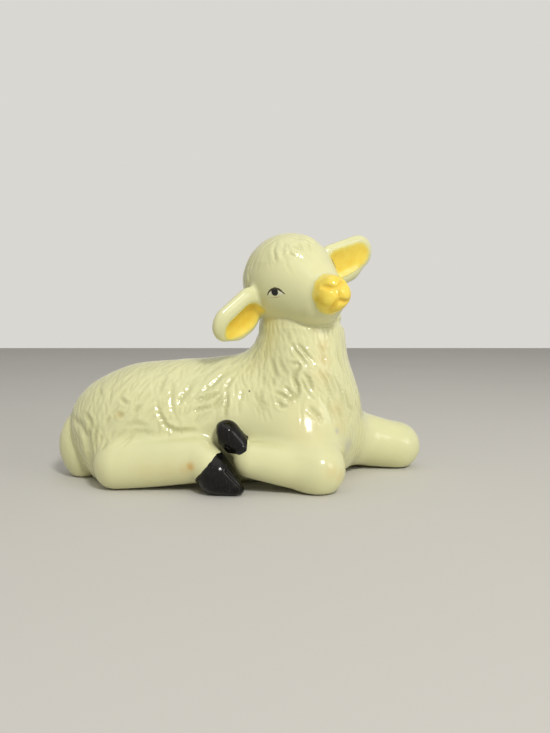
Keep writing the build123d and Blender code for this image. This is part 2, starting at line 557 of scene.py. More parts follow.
def ragged(points: np.ndarray, size: float) -> np.ndarray:
    """A brush's uneven edge: a soft wobble through space.

    Args:
        points: An array of points, in millimetres.
        size: How long one wobble is, in millimetres.

    Returns:
        A number from about -1 to 1 at each point.
    """
    x, y, z = (points * (2 * math.pi / size)).T
    wide = np.sin(x * 0.9 + 1.3 * y) * np.sin(y * 0.7 - z + 1.1) + np.sin(z * 1.1 + 0.6 * x + 0.4)
    fine = np.sin(x * 2.7 - 2.1 * z + 0.8) * np.sin(y * 2.3 + 1.7 * z)
    return wide * 0.45 + fine * 0.3


@dataclass(frozen=True)
class Coat(Form):
    """A coat of paint: a thin layer over a form that reaches only as far as a region."""

    carrier: Form
    region: Form
    rag: float = 0.0
    rag_size: float = 2.5
    lift: float = 0.06
    depth: float = 0.6
    soft: float = 0.22

    def edge(self, points: np.ndarray) -> np.ndarray:
        """How far points lie outside the coat's uneven edge.

        Args:
            points: An array of points, in millimetres.

        Returns:
            The distances, below zero inside.
        """
        found = self.region.distance(points)
        return found + self.rag * ragged(points, self.rag_size) if self.rag else found

    def distance(self, points: np.ndarray) -> np.ndarray:
        """How far points lie outside the coat.

        Args:
            points: An array of points, in millimetres.

        Returns:
            The distances, below zero inside.
        """
        skin = self.carrier.distance(points)
        layer = np.maximum(skin - self.lift, -skin - self.depth)
        return -joined(-layer, -self.edge(points), self.soft)


@dataclass(frozen=True)
class Sunk(Form):
    """A form that lies a little deeper where coats of paint cover it."""

    # How deep it sinks, how far inside a region that starts and ends, and a margin round regions.
    SINK = 0.5
    SINK_FROM = 0.6
    SINK_TO = 1.6
    MARGIN = 1.0

    carrier: Form
    regions: tuple[Form, ...]

    def distance(self, points: np.ndarray) -> np.ndarray:
        """How far points lie outside the sunk form.

        Args:
            points: An array of points, in millimetres.

        Returns:
            The distances, below zero inside.
        """
        found = self.carrier.distance(points)
        for region in self.regions:
            middle, reach = region.bounds()
            near = ((points - middle) ** 2).sum(-1) < (reach + self.MARGIN) ** 2
            if near.any():
                inside = -region.distance(points[near])
                found[near] += self.SINK * smooth_step(inside, self.SINK_FROM, self.SINK_TO)
        return found


@dataclass(frozen=True)
class Mould:
    """Turns a form into the corners and faces of a mesh, within a box from low to high."""

    # The rough grid: how many fine steps make one block, and how many blocks off the skin is sought.
    COARSENESS = 4
    NEAR_BLOCKS = 1.3
    # The fine grid is worked out in parts, and its corners are moved on to the skin a few times.
    PARTS = 8
    MOVES = 4
    LEAST_SLOPE = 0.05
    NORMAL_STEP = 0.06

    form: Form
    low: np.ndarray
    high: np.ndarray
    step: float

    @cached_property
    def shape(self) -> np.ndarray:
        """How many blocks the rough grid has along each axis."""
        return np.ceil((self.high - self.low) / (self.step * self.COARSENESS)).astype(int)

    def field(self) -> np.ndarray:
        """The distances on a grid, worked out finely only near the surface.

        Returns:
            The grid of distances.
        """
        k = self.COARSENESS
        block = self.step * k
        index = np.stack(np.meshgrid(*(np.arange(n) for n in self.shape), indexing="ij"), -1)
        index = index.reshape(-1, 3)
        centres = self.low + (index + 0.5 - 0.5 / k) * block
        rough = self.form.distance(centres.astype(np.float32))
        grid = np.repeat(rough, k**3).reshape(*self.shape, k, k, k)
        near = np.abs(rough) < block * self.NEAR_BLOCKS
        cell = np.stack(np.meshgrid(*[np.arange(k)] * 3, indexing="ij"), -1).reshape(-1, 3)
        fine = index[near][:, None] * k + cell
        points = self.low + fine.reshape(-1, 3) * self.step
        parts = np.array_split(points.astype(np.float32), self.PARTS)
        values = np.concatenate([self.form.distance(part) for part in parts])
        grid.reshape(-1, k**3)[near] = values.reshape(-1, k**3)
        grid = grid.transpose(0, 3, 1, 4, 2, 5).reshape(*(self.shape * k))
        return np.ascontiguousarray(grid, dtype=np.float32)

    def surface(self) -> tuple[np.ndarray, np.ndarray, np.ndarray]:
        """The mesh of the form.

        Returns:
            The corners in millimetres, the outward normals there, and the four-cornered faces.
        """
        grid = openvdb.FloatGrid(FAR)
        grid.copyFromArray(self.field())
        corners, quads = grid.convertToQuads(0.0)
        corners = (self.low + corners * self.step).astype(np.float32)
        for _ in range(self.MOVES):
            slope = self.form.slope(corners)
            size = np.maximum((slope * slope).sum(-1), self.LEAST_SLOPE)
            move = np.clip(self.form.distance(corners) / size, -self.step, self.step)
            corners = corners - slope * move[:, None]
        normals = unit(self.form.slope(corners, self.NORMAL_STEP))
        a, b, c = (corners[quads[:, i]] for i in range(3))
        outward = (np.cross(b - a, c - a) * normals[quads[:, 0]]).sum(-1).sum() > 0
        return corners, normals, quads if outward else quads[:, ::-1]


def make_object(name: str, corners: np.ndarray, quads: np.ndarray) -> bpy.types.Object:
    """A mesh object that rides on the lamb.

    Args:
        name: The object's name.
        corners: The corners in millimetres.
        quads: The four-cornered faces.

    Returns:
        The object.
    """
    mesh = bpy.data.meshes.new(name)
    mesh.vertices.add(len(corners))
    mesh.vertices.foreach_set("co", (corners * MM).astype(np.float32).ravel())
    mesh.loops.add(quads.size)
    mesh.loops.foreach_set("vertex_index", quads.astype(np.int32).ravel())
    mesh.polygons.add(len(quads))
    mesh.polygons.foreach_set("loop_start", np.arange(0, quads.size, 4, dtype=np.int32))
    mesh.update(calc_edges=True)
    mesh.validate()
    mesh.shade_smooth()
    made = bpy.data.objects.new(name, mesh)
    bpy.context.scene.collection.objects.link(made)
    return made


def set_layer(made: bpy.types.Object, name: str, values: np.ndarray) -> None:
    """Keeps one number for each corner of a mesh, for its material to read.

    Args:
        made: The mesh object.
        name: The name of the layer.
        values: The numbers.
    """
    layer = made.data.attributes.new(name, "FLOAT", "POINT")
    layer.data.foreach_set("value", values.astype(np.float32))


# How fine the meshes are, in millimetres.
SKIN_STEP = 0.36
PAINT_STEP = 0.22
EYE_STEP = 0.1

# The way that the wool lies, seen from the side: places as millimetres ahead and up, and the way
# there as shares ahead and up.
WOOL_WAYS = (
    (-3, 37, -0.60, -0.75),
    (-12, 36, -0.70, -0.70),
    (-22, 36, -0.70, -0.72),
    (-30, 34, -0.55, -0.83),
    (-38, 30, -0.40, -0.90),
    (-44, 26, -0.15, -1.00),
    (-47, 20, 0.05, -1.00),
    (-45, 13, 0.10, -1.00),
    (-40, 14, -0.30, -0.95),
    (-35, 25, -0.50, -0.85),
    (-27, 27, -0.45, -0.90),
    (-32, 17, -0.75, -0.50),
    (-20, 29, -0.35, -0.94),
    (-20, 21, 0.10, -1.00),
    (-15, 19, 0.60, -0.75),
    (-11, 26, -0.80, -0.55),
    (-5, 31, -0.45, -0.90),
    (-4, 25, -0.10, -1.00),
    (-1, 41, -0.50, -0.86),
    (0, 34, -0.25, -0.97),
    (6, 40, -0.05, -1.00),
    (6, 28, 0.10, -1.00),
    (11, 37, 0.12, -1.00),
    (12, 27, 0.60, -0.80),
    (17, 40, 0.55, -0.83),
    (21, 37, 0.45, -0.90),
    (18, 32, 0.25, -0.97),
    (16, 27, -0.45, -0.90),
    (21, 29, 0.40, -0.90),
    (24, 40, 0.10, -1.00),
    (28, 41, 0.05, -1.00),
    (31, 33, 0.20, -0.98),
    (27, 29, 0.30, -0.95),
    (23, 24, 0.40, -0.90),
    (29, 23, 0.15, -1.00),
    (33, 24, 0.20, -0.97),
)

# The height at which the wool ends above the smooth legs and shoulder, along the body.
WOOL_HEM = (
    (-62, 6),
    (-48, 9),
    (-40, 14),
    (-30, 17),
    (-18, 19),
    (-8, 22),
    (0, 25),
    (8, 24.5),
    (14, 24),
    (20, 22),
    (26, 15),
    (34, 12),
    (62, 10),
)


@dataclass(frozen=True)
class Crop:
    """A piece of the photograph, enlarged so that points can be read off it."""

    corner: tuple[float, float] = (0.0, 0.0)
    scale: float = 1.0

    def pixels(self, points: tuple[tuple[float, float], ...]) -> tuple[tuple[float, float], ...]:
        """The photograph's pixels at points of the crop.

        Args:
            points: The points, across and down.

        Returns:
            The pixels.
        """
        left, top = self.corner
        return tuple((left + across / self.scale, top + down / self.scale) for across, down in points)


@dataclass(frozen=True)
class Lock:
    """One lock that the modeller drew: its width, its depth and the points that it runs through.

    A depth below zero is a raised lock.
    """

    width: float
    depth: float
    crop: Crop
    points: tuple[tuple[float, float], ...]

    @property
    def line(self) -> tuple[tuple[float, float], ...]:
        """The photograph's pixels that the lock runs through."""
        return self.crop.pixels(self.points)


@dataclass(frozen=True)
class Stain:
    """One soft stain under the glaze: its pixel, how far it spreads and how strong it is."""

    pixel: tuple[float, float]
    spread: float
    strength: float


# The crops in which the locks' points are counted, and the whole photograph.
CHEST = Crop((230, 320), 8)
FLANK = Crop((60, 345), 8)
WHOLE = Crop()

# The locks of the body that catch the light. The photograph shows the lamb's right side, and its
# left side has the same, mirrored.
LOCKS = (
    Lock(0.7, 0.45, CHEST, ((540, 190), (590, 250), (650, 310))),
    Lock(0.7, 0.4, CHEST, ((490, 190), (520, 240), (560, 290), (610, 350))),
    Lock(0.6, 0.35, CHEST, ((560, 215), (630, 300), (665, 335))),
    Lock(0.7, 0.4, CHEST, ((480, 350), (540, 345), (560, 370), (520, 420), (530, 480))),
    Lock(0.8, 0.5, CHEST, ((545, 385), (500, 440), (520, 500), (550, 550), (520, 640))),
    Lock(0.8, 0.45, CHEST, ((600, 430), (640, 500), (650, 560))),
    Lock(0.6, 0.3, CHEST, ((575, 480), (610, 560), (640, 610))),
    Lock(0.7, 0.4, CHEST, ((370, 580), (420, 600), (480, 640))),
    Lock(0.7, 0.4, CHEST, ((440, 540), (490, 590), (520, 620))),
    Lock(0.8, 0.4, CHEST, ((380, 660), (410, 700), (440, 690))),
    Lock(0.7, 0.4, CHEST, ((450, 650), (490, 640), (530, 580))),
    Lock(0.9, 0.3, CHEST, ((330, 300), (350, 400), (380, 470))),
    Lock(0.9, 0.25, CHEST, ((390, 310), (420, 380), (450, 430))),
    Lock(0.8, 0.3, CHEST, ((200, 580), (215, 640), (270, 730))),
    Lock(0.8, 0.3, CHEST, ((250, 560), (240, 640), (290, 700))),
    Lock(0.8, 0.35, CHEST, ((640, 700), (680, 740), (730, 800))),
    Lock(0.8, 0.3, CHEST, ((700, 400), (760, 470), (790, 560), (830, 660))),
    Lock(0.8, 0.3, CHEST, ((760, 400), (830, 500), (850, 600))),
    Lock(0.8, 0.3, CHEST, ((830, 440), (890, 560), (920, 680))),
    Lock(0.7, 0.25, CHEST, ((860, 200), (880, 330), (920, 420))),
    Lock(0.8, 0.3, CHEST, ((920, 560), (950, 680), (990, 740))),
    Lock(0.7, 0.25, CHEST, ((860, 700), (900, 790))),
    Lock(0.7, 0.25, CHEST, ((800, 590), (790, 700), (830, 780))),
    Lock(0.7, 0.25, CHEST, ((260, 440), (270, 520))),
    Lock(0.7, 0.25, CHEST, ((340, 460), (345, 520))),
    Lock(0.7, 0.2, CHEST, ((100, 560), (90, 640))),
    Lock(0.8, 0.25, CHEST, ((250, 170), (190, 270), (170, 330))),
    Lock(0.7, 0.25, CHEST, ((700, 180), (745, 260), (750, 350))),
    Lock(0.8, 0.2, CHEST, ((450, 100), (470, 170))),
    Lock(0.8, 0.4, FLANK, ((782, 450), (790, 540), (830, 620), (880, 670), (950, 689), (1080, 680))),
    Lock(0.8, 0.25, FLANK, ((905, 300), (890, 400), (900, 520), (950, 620))),
    Lock(0.8, 0.25, FLANK, ((850, 250), (810, 320), (795, 400))),
    Lock(0.7, 0.45, FLANK, ((1280, 375), (1190, 420), (1100, 455))),
    Lock(0.6, 0.35, FLANK, ((1200, 390), (1130, 425), (1075, 440))),
    Lock(0.7, 0.4, FLANK, ((1210, 495), (1130, 510), (1070, 525))),
    Lock(0.7, 0.4, FLANK, ((1290, 400), (1260, 450), (1230, 500))),
    Lock(0.6, 0.35, FLANK, ((1320, 420), (1280, 470), (1255, 510))),
    Lock(0.7, 0.45, FLANK, ((1335, 370), (1330, 440), (1325, 520), (1320, 580))),
    Lock(0.8, 0.3, FLANK, ((1380, 260), (1340, 320), (1320, 370))),
    Lock(0.8, 0.35, FLANK, ((1360, 215), (1290, 250), (1230, 310), (1130, 390))),
    Lock(0.8, 0.35, FLANK, ((1000, 360), (975, 430), (950, 470))),
    Lock(0.8, 0.3, FLANK, ((1060, 300), (1020, 380), (990, 440))),
    Lock(0.8, 0.35, FLANK, ((480, 430), (540, 465))),
    Lock(0.8, 0.35, FLANK, ((640, 480), (600, 530))),
    Lock(0.9, 0.35, FLANK, ((460, 555), (500, 560))),
    Lock(0.7, 0.3, FLANK, ((320, 350), (325, 400))),
    Lock(0.7, 0.3, FLANK, ((390, 580), (370, 620))),
    Lock(0.9, 0.35, FLANK, ((200, 540), (240, 600), (260, 680))),
    Lock(0.8, 0.3, FLANK, ((230, 640), (245, 760))),
    Lock(0.8, 0.3, FLANK, ((300, 620), (280, 700), (270, 800))),
    Lock(0.8, 0.25, FLANK, ((370, 760), (340, 830))),
    Lock(0.9, 0.25, FLANK, ((520, 640), (620, 620), (700, 650))),
    Lock(0.9, 0.2, FLANK, ((560, 700), (660, 690), (760, 712))),
)

# The strands and locks of the head's cap, in pixels of the whole photograph.
HEAD_LOCKS = (
    Lock(0.45, 0.34, WHOLE, ((253, 251.9), (248.3, 260.6), (246, 268), (245.5, 277), (246, 284))),
    Lock(0.45, 0.32, WHOLE, ((255.5, 255), (251, 263), (249, 271), (249.5, 278.2))),
    Lock(0.45, 0.28, WHOLE, ((254.7, 252.1), (249.4, 262.2), (247.2, 269.4), (247, 278.1))),
    Lock(0.45, 0.28, WHOLE, ((253.9, 251.8), (248.6, 261.5), (246.1, 270.6), (246, 278.6))),
    Lock(0.5, 0.22, WHOLE, ((258, 254), (254, 262), (252, 270))),
    Lock(1.0, -0.35, WHOLE, ((284.5, 248), (286.4, 251.6), (287.9, 256.6))),
    Lock(1.0, -0.38, WHOLE, ((290.2, 244.8), (292.5, 249.9), (295.5, 255.9))),
    Lock(1.0, -0.35, WHOLE, ((276.3, 250.1), (277.5, 255.2), (279.7, 260.9))),
    Lock(0.9, -0.3, WHOLE, ((270.5, 250.1), (270.9, 255.6), (272.7, 261.4))),
    Lock(0.5, 0.28, WHOLE, ((274.5, 247), (274.6, 251.3), (275, 255), (275.9, 260.5))),
    Lock(0.5, 0.28, WHOLE, ((308, 243), (309.4, 246.3), (310.5, 250))),
    Lock(0.5, 0.28, WHOLE, ((299, 243), (300.7, 246.5), (301.7, 250.5))),
    Lock(0.9, -0.3, WHOLE, ((300.6, 241.3), (304.3, 246.7), (307, 253.3))),
    Lock(0.5, 0.2, WHOLE, ((279, 238), (268, 245), (262, 251))),
    Lock(0.5, 0.2, WHOLE, ((284.2, 241.6), (284.5, 246.9), (283.3, 254.7))),
)

# The warm and the cool stains, in the same pixels.
STAINS = (
    Stain((190.1, 466.8), 1.3, 0.75),
    Stain((184.7, 470.4), 2.2, 0.25),
    Stain((167.6, 471.6), 3.4, 0.14),
    Stain((146.7, 471.4), 3.6, 0.1),
    Stain((323.0, 346.6), 2.0, 0.22),
    Stain((323.9, 359.9), 2.2, 0.25),
    Stain((323.2, 375.1), 2.8, 0.2),
    Stain((337.1, 410.0), 2.8, 0.18),
    Stain((340.1, 425.1), 2.8, 0.16),
    Stain((308.9, 429.4), 6.0, 0.13),
    Stain((331.9, 471.7), 2.4, 0.22),
    Stain((340.2, 476.2), 2.0, 0.22),
    Stain((118.6, 414.9), 1.4, 0.2),
)
COOL_STAINS = (
    Stain((348.1, 446.0), 2.4, 0.45),
    Stain((337.1, 431.0), 0.9, 0.5),
    Stain((342.7, 343.0), 4.0, 0.07),
)


def sighted(form: Form, lines: list[tuple[tuple[float, float], ...]]) -> list[np.ndarray]:
    """The places on a form that the photograph shows along lines of pixels.

    Args:
        form: The form.
        lines: The lines, each as the pixels that it runs through.

    Returns:
        For each line, its places in millimetres, one to a row.
    """
    across, down = ((np.concatenate(lines) - np.array(PHOTO_PX) / 2) / FOCAL_PX).T
    drop = math.radians(CAMERA_DROP)
    ahead = vector(0, math.cos(drop), -math.sin(drop))
    below = vector(0, -math.sin(drop), -math.cos(drop))
    rays = unit(ahead + across[:, None] * vector(1, 0, 0) + down[:, None] * below)
    places = CAMERA_PLACE + rays * SIGHT_START
    for _ in range(SIGHT_STEPS):
        gap = form.distance(places.astype(np.float32))
        places = places + rays * (gap * SIGHT_CARE)[:, None]
    return np.split(places, np.cumsum([len(line) for line in lines])[:-1])


class Wool:
    """Presses the wool into the skin, one stroke after another, along the way that it grows."""

    # How long one dab is, in millimetres, and how far it reaches in widths of its stroke.
    DAB = 0.5
    REACH = 2.4
    # The bank beside a groove: how many widths off it is, how sharp, and how high as a share.
    BANK_PLACE = 1.5
    BANK_SHARPNESS = 1.6
    BANK_HEIGHT = 0.4
    # How a combed stroke and a drawn one fade at their ends, and how often a drawn one is smoothed.
    FADE = 0.6
    LINE_FADE = 0.45
    ROUNDINGS = 4

    def __init__(self, corners: np.ndarray, normals: np.ndarray, seed: int) -> None:
        """Starts with a skin that nothing is pressed into.

        Args:
            corners: The skin's corners, in millimetres.
            normals: The outward normals there.
            seed: Fixes where the strokes fall.
        """
        self.corners = corners
        self.normals = normals
        self.random = np.random.default_rng(seed)
        self.tree = KDTree(len(corners))
        for index, corner in enumerate(corners):
            self.tree.insert(corner, index)
        self.tree.balance()
        self.rise = np.zeros(len(corners), np.float32)
        self.groove = np.zeros(len(corners), np.float32)

    def seeds(self, mask: np.ndarray, spacing: float) -> list[int]:
        """Corners on which strokes start, none too near another.

        Args:
            mask: Where strokes may start.
            spacing: How far apart the strokes start.

        Returns:
            The corners' numbers.
        """
        taken = set()
        chosen = []
        order = self.random.permutation(np.flatnonzero(mask))
        cells = np.floor(self.corners / spacing).astype(int)
        for index in order:
            cell = tuple(cells[index])
            if cell not in taken:
                taken.add(cell)
                chosen.append(int(index))
        return chosen

    def dab(self, here: np.ndarray, tangent: np.ndarray, width: float, depth: float) -> None:
        """Presses the tool in once: a short groove with a soft bank on each side.

        Args:
            here: The place.
            tangent: The way that the groove runs.
            width: How wide the groove is.
            depth: How deep it is. Below zero, it is a raised lock.
        """
        found = self.tree.find_range(here, width * self.REACH)
        if not found:
            return
        near = np.array([item[1] for item in found])
        offset = self.corners[near] - here
        along = offset @ tangent
        apart = np.sqrt(np.maximum((offset * offset).sum(-1) - along * along, 0)) / width
        cap = np.exp(-((along / self.DAB) ** 2) * 0.5)
        dip = np.exp(-apart * apart) * cap
        if depth > 0:
            beside = np.exp(-((apart - self.BANK_PLACE) ** 2) * self.BANK_SHARPNESS)
            bank = beside * cap * self.BANK_HEIGHT
            self.groove[near] = np.maximum(self.groove[near], dip * depth)
            self.rise[near] = np.maximum(self.rise[near], bank * depth)
        else:
            self.rise[near] = np.maximum(self.rise[near], -dip * depth)

    def stroke(
        self, start: int, way: np.ndarray, length: float, width: float, depth: float, bend: float
    ) -> None:
        """Presses one stroke that fades in and out.

        Args:
            start: The corner that it starts on.
            way: The way that it runs.
            length: How long it is.
            width: How wide the groove is.
            depth: How deep it is. Below zero, it is a raised lock.
            bend: How far it turns over its length, in radians.
        """
        steps = max(4, int(length / self.DAB))
        here = self.corners[start]
        index = start
        turn = bend / steps
        for step in range(steps):
            normal = self.normals[index]
            tangent = unit(way - normal * np.dot(way, normal))
            share = (step + 0.5) / steps
            fade = math.sin(math.pi * share) ** self.FADE * (1.15 - 0.5 * share)
            self.dab(here, tangent, width, depth * fade)
            way = tangent * math.cos(turn) + np.cross(normal, tangent) * math.sin(turn)
            _, index, _ = self.tree.find(here + way * (length / steps))
            here = self.corners[index]

    def follow(self, points: np.ndarray, width: float, depth: float) -> None:
        """Presses one stroke along a smooth line through given places.

        Args:
            points: The places, in millimetres.
            width: How wide the groove is.
            depth: How deep it is. Below zero, it is a raised lock.
        """
        gaps = np.linalg.norm(np.diff(points, axis=0), axis=1)
        reach = np.concatenate([[0.0], np.cumsum(gaps)])
        shares = np.linspace(0, reach[-1], max(5, int(reach[-1] / self.DAB)))
        line = np.stack([np.interp(shares, reach, points[:, axis]) for axis in range(3)], -1)
        for _ in range(self.ROUNDINGS):
            line[1:-1] = (line[:-2] + line[1:-1] * 2 + line[2:]) / 4
        for step, place in enumerate(line):
            here, index, _ = self.tree.find(place)
            normal = self.normals[index]
            way = line[min(step + 1, len(line) - 1)] - line[max(step - 1, 0)]
            tangent = unit(way - normal * np.dot(way, normal))
            fade = math.sin(math.pi * (step + 0.5) / len(line)) ** self.LINE_FADE
            self.dab(np.array(here), tangent, width, depth * fade)

    def press(self) -> np.ndarray:
        """The skin's corners with every stroke pressed in.

        Returns:
            The moved corners.
        """
        return self.corners + self.normals * (self.rise - self.groove)[:, None]


def on_side(places: np.ndarray, side: Side) -> np.ndarray:
    """Places on the lamb's right side, moved to one of its sides.

    Args:
        places: The places, one to a row.
        side: The side.

    Returns:
        The places there.
    """
    return np.array(places, np.float32) * vector(1, -side.value, 1)


def box_around(middle: np.ndarray, reach: float) -> tuple[np.ndarray, np.ndarray]:
    """A box round a place.

    Args:
        middle: The place, in millimetres.
        reach: How far the box reaches on every side.

    Returns:
        Its lowest and highest corners.
    """
    return middle - reach, middle + reach


def dress(made: bpy.types.Object, slot: Slot, material: bpy.types.Material, *nodes: str) -> None:
    """Makes a piece ride on the lamb, with its finish and the CAD nodes that it stands for.

    Args:
        made: The piece.
        slot: The record's material slot. Not used.
        material: Its finish.
        nodes: The CAD nodes that it stands for.
    """
    made.data.materials.append(material)
    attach(made, "root")
    if nodes:
        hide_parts(*nodes)
    log.info("%s: %d faces", made.name, len(made.data.polygons))


@dataclass(frozen=True)
class Ear:
    """One ear: a pressed leaf with a belly, and a scoop in the face that it turns forward."""

    side: Side
    way: tuple[float, float, float]
    length: float
    scoop_shift: float
    scoop_edge: float
    hollow: float
    pooling: float
    face_way: tuple[float, float, float] = (1.0, 0.0, -0.15)
    width: float = 11.4
    root_width: float = 12.6
    belly_width: float = 12.8
    belly_place: float = 0.42
    belly_drop: float = 1.9
    droop: float = 1.3
    thickness: float = 5.6
    root_depth: float = 3.5
    fillet: float = 1.5
    paint_spread: float = 0.25
    paint_depth_share: float = 1.6
    paint_rag: float = 0.12
    paint_reach: float = 11.5
    # How much darker the scoop is painted towards its upper side, under the rim: painted shade.
    rim_shade_slope: float = 0.18
    pooling_from: float = 0.5
    pooling_to: float = 2.6

    @cached_property
    def axes(self) -> tuple[np.ndarray, np.ndarray, np.ndarray]:
        """The ear's own ways.

        Returns:
            The ways that the ear runs, that it faces and that its lower edge lies.
        """
        way = in_head(*self.way, self.side.value)
        face = in_head(*self.face_way, self.side.value)
        face = unit(face - way * np.dot(face, way))
        down = np.cross(way, face)
        return way, face, down * -np.sign(down[2])

    @cached_property
    def ends(self) -> tuple[np.ndarray, np.ndarray]:
        """The ear's two rounded ends.

        Returns:
            The middle of the root's end and of the tip's end.
        """
        way, _, _ = self.axes
        radius = self.root_width / 2
        seat = HEAD_CENTRE + HEAD_LEFT * (self.side.value * SKULL_RADIUS) - HEAD_UP * self.droop
        root = seat - way * (self.root_depth - radius)
        return root, root + way * (self.length - radius - self.width / 2)

    @cached_property
    def leaf(self) -> Stack:
        """The ear before it is scooped.

        Returns:
            The leaf with its belly.
        """
        root, tip = self.ends
        way, face, down = self.axes
        middle = root + (tip - root) * self.belly_place + down * self.belly_drop
        radius = self.belly_width / 2
        belly = Limb(middle - way, radius, middle + way, radius, self.thickness, face)
        base = Limb(root, self.root_width / 2, tip, self.width / 2, self.thickness, face)
        return Stack(base, ((belly, 1.0),))

    def scoop(self, spread: float, depth: float) -> Limb:
        """The hollow in the ear's face.

        Args:
            spread: How far it is widened.
            depth: How deep it goes.

        Returns:
            The hollow's form.
        """
        root, tip = self.ends
        way, face, down = self.axes
        lift = face * (self.thickness / 2) + down * self.scoop_shift
        radius = self.belly_width / 2 - self.scoop_edge + spread
        start, end = root + lift + way * 1.6, tip + lift - way * 0.4
        return Limb(start, radius, end, radius - 0.7, depth * 2, face)

    @cached_property
    def form(self) -> Stack:
        """The finished ear."""
        return Stack(self.leaf, removed=((self.scoop(0.0, self.hollow), self.fillet),))

    @cached_property
    def painted(self) -> Limb:
        """The region that is painted."""
        return self.scoop(self.paint_spread, self.hollow * self.paint_depth_share)

    def paint(self, carrier: Form, paint: bpy.types.Material) -> None:
        """Paints the scoop.

        Args:
            carrier: The skin that the paint lies on.
            paint: The paint.
        """
        coat = Coat(carrier, self.painted, rag=self.paint_rag)
        name = "painted_" + self.side.prefix + "ear_scoop"
        made, corners = coat_object(name, coat, self.paint_reach, PAINT_STEP)
        _, _, down = self.axes
        # The scoop is coloured deeper where its hollow is deep and the underglaze lies thick, and deeper
        # still towards its upper side under the rim, which is painted shade.
        height = (corners - self.ends[0]) @ -down
        depth = -self.leaf.distance(corners) + height * self.rim_shade_slope
        pooled = smooth_step(depth, self.pooling_from, self.pooling_to)
        set_layer(made, "groove", self.pooling * pooled)
        dress(made, Slot.YELLOW, paint)


@dataclass(frozen=True)
class Muzzle:
    """The ball of the muzzle with its nose, cheeks and lip, and the creases between them."""

    ahead: float = MUZZLE_AHEAD
    radius: float = 5.5
    forward: tuple[float, float, float] = (0.30, -0.94, -0.17)
    upward: tuple[float, float, float] = (-0.25, 0.0, 0.97)
    nose: tuple[float, float, float] = (0.50, 0.0, 0.86)
    nose_radius: float = 2.9
    nose_reach: float = 3.2
    cheek: tuple[float, float, float] = (0.76, 0.62, -0.06)
    cheek_radius: float = 3.4
    cheek_reach: float = 2.6
    lip: tuple[float, float, float] = (0.74, 0.0, -0.67)
    lip_radius: float = 2.7
    lip_reach: float = 3.0
    lobe_fillet: float = 0.7
    crease_radius: float = 0.5
    crease_fillet: float = 1.1
    creases: tuple[tuple[tuple[float, float, float], tuple[float, float, float]], ...] = (
        ((0.92, 0.03, 0.38), (0.56, 0.56, 0.60)),
        ((0.92, -0.03, 0.38), (0.56, -0.56, 0.60)),
        ((0.93, 0.0, 0.32), (0.99, 0.0, 0.05)),
        ((0.97, 0.04, -0.24), (0.74, 0.54, -0.40)),
        ((0.97, -0.04, -0.24), (0.62, -0.44, -0.64)),
    )
    paint_radius: float = 7.0
    paint_rise: float = 0.8
    paint_ahead: float = 2.4
    paint_rag: float = 0.28
    paint_rag_size: float = 4.5
    paint_reach: float = 8.5
    pooling: float = 0.16
    pooling_from: float = -0.7
    pooling_to: float = 0.1

    @cached_property
    def centre(self) -> np.ndarray:
        """The middle of the ball."""
        return HEAD_CENTRE + HEAD_FORWARD * self.ahead

    def toward(self, ahead: float, left: float, up: float) -> np.ndarray:
        """A direction among the muzzle's own.

        Args:
            ahead: Its share along the way that the muzzle faces.
            left: Its share to the lamb's left.
            up: Its share along the muzzle's own up.

        Returns:
            The direction at length one.
        """
        forward = unit(vector(*self.forward))
        upward = vector(*self.upward)
        upward = unit(upward - forward * np.dot(upward, forward))
        return unit(forward * ahead + np.cross(upward, forward) * left + upward * up)

    @cached_property
    def grooves(self) -> list[Limb]:
        """The creases between the nose, the cheeks and the lip.

        Returns:
            The creases as rods along the skin.
        """
        grooves = []
        for start, end in self.creases:
            first, last = (self.centre + self.toward(*way) * self.radius * 1.05 for way in (start, end))
            grooves.append(Limb(first, self.crease_radius, last, self.crease_radius * 0.8))
        return grooves

    @cached_property
    def form(self) -> Stack:
        """The finished muzzle.

        Returns:
            The ball with its lobes, less the creases.
        """
        ahead, left, up = self.cheek
        lobes = (
            (self.nose, self.nose_radius, self.nose_reach),
            ((ahead, left, up), self.cheek_radius, self.cheek_reach),
            ((ahead, -left, up), self.cheek_radius, self.cheek_reach),
            (self.lip, self.lip_radius, self.lip_reach),
        )
        added = tuple(
            (ball(self.centre + self.toward(*way) * reach, radius), self.lobe_fillet)
            for way, radius, reach in lobes
        )
        removed = tuple((groove, self.crease_fillet) for groove in self.grooves)
        return Stack(ball(self.centre, self.radius), added, removed)

    @cached_property
    def painted(self) -> Limb:
        """The region that is painted."""
        middle = self.centre + HEAD_FORWARD * self.paint_ahead + HEAD_UP * self.paint_rise
        return ball(middle, self.paint_radius)

    def paint(self, carrier: Form, paint: bpy.types.Material) -> None:
        """Paints the muzzle.

        Args:
            carrier: The skin that the paint lies on.
            paint: The paint.
        """
        coat = Coat(carrier, self.painted, rag=self.paint_rag, rag_size=self.paint_rag_size)
        made, corners = coat_object("painted_muzzle", coat, self.paint_reach, PAINT_STEP)
        near = np.min([groove.distance(corners) for groove in self.grooves], axis=0)
        pooled = smooth_step(-near, self.pooling_from, self.pooling_to)
        set_layer(made, "groove", self.pooling * pooled)
        dress(made, Slot.YELLOW, paint, "muzzle")


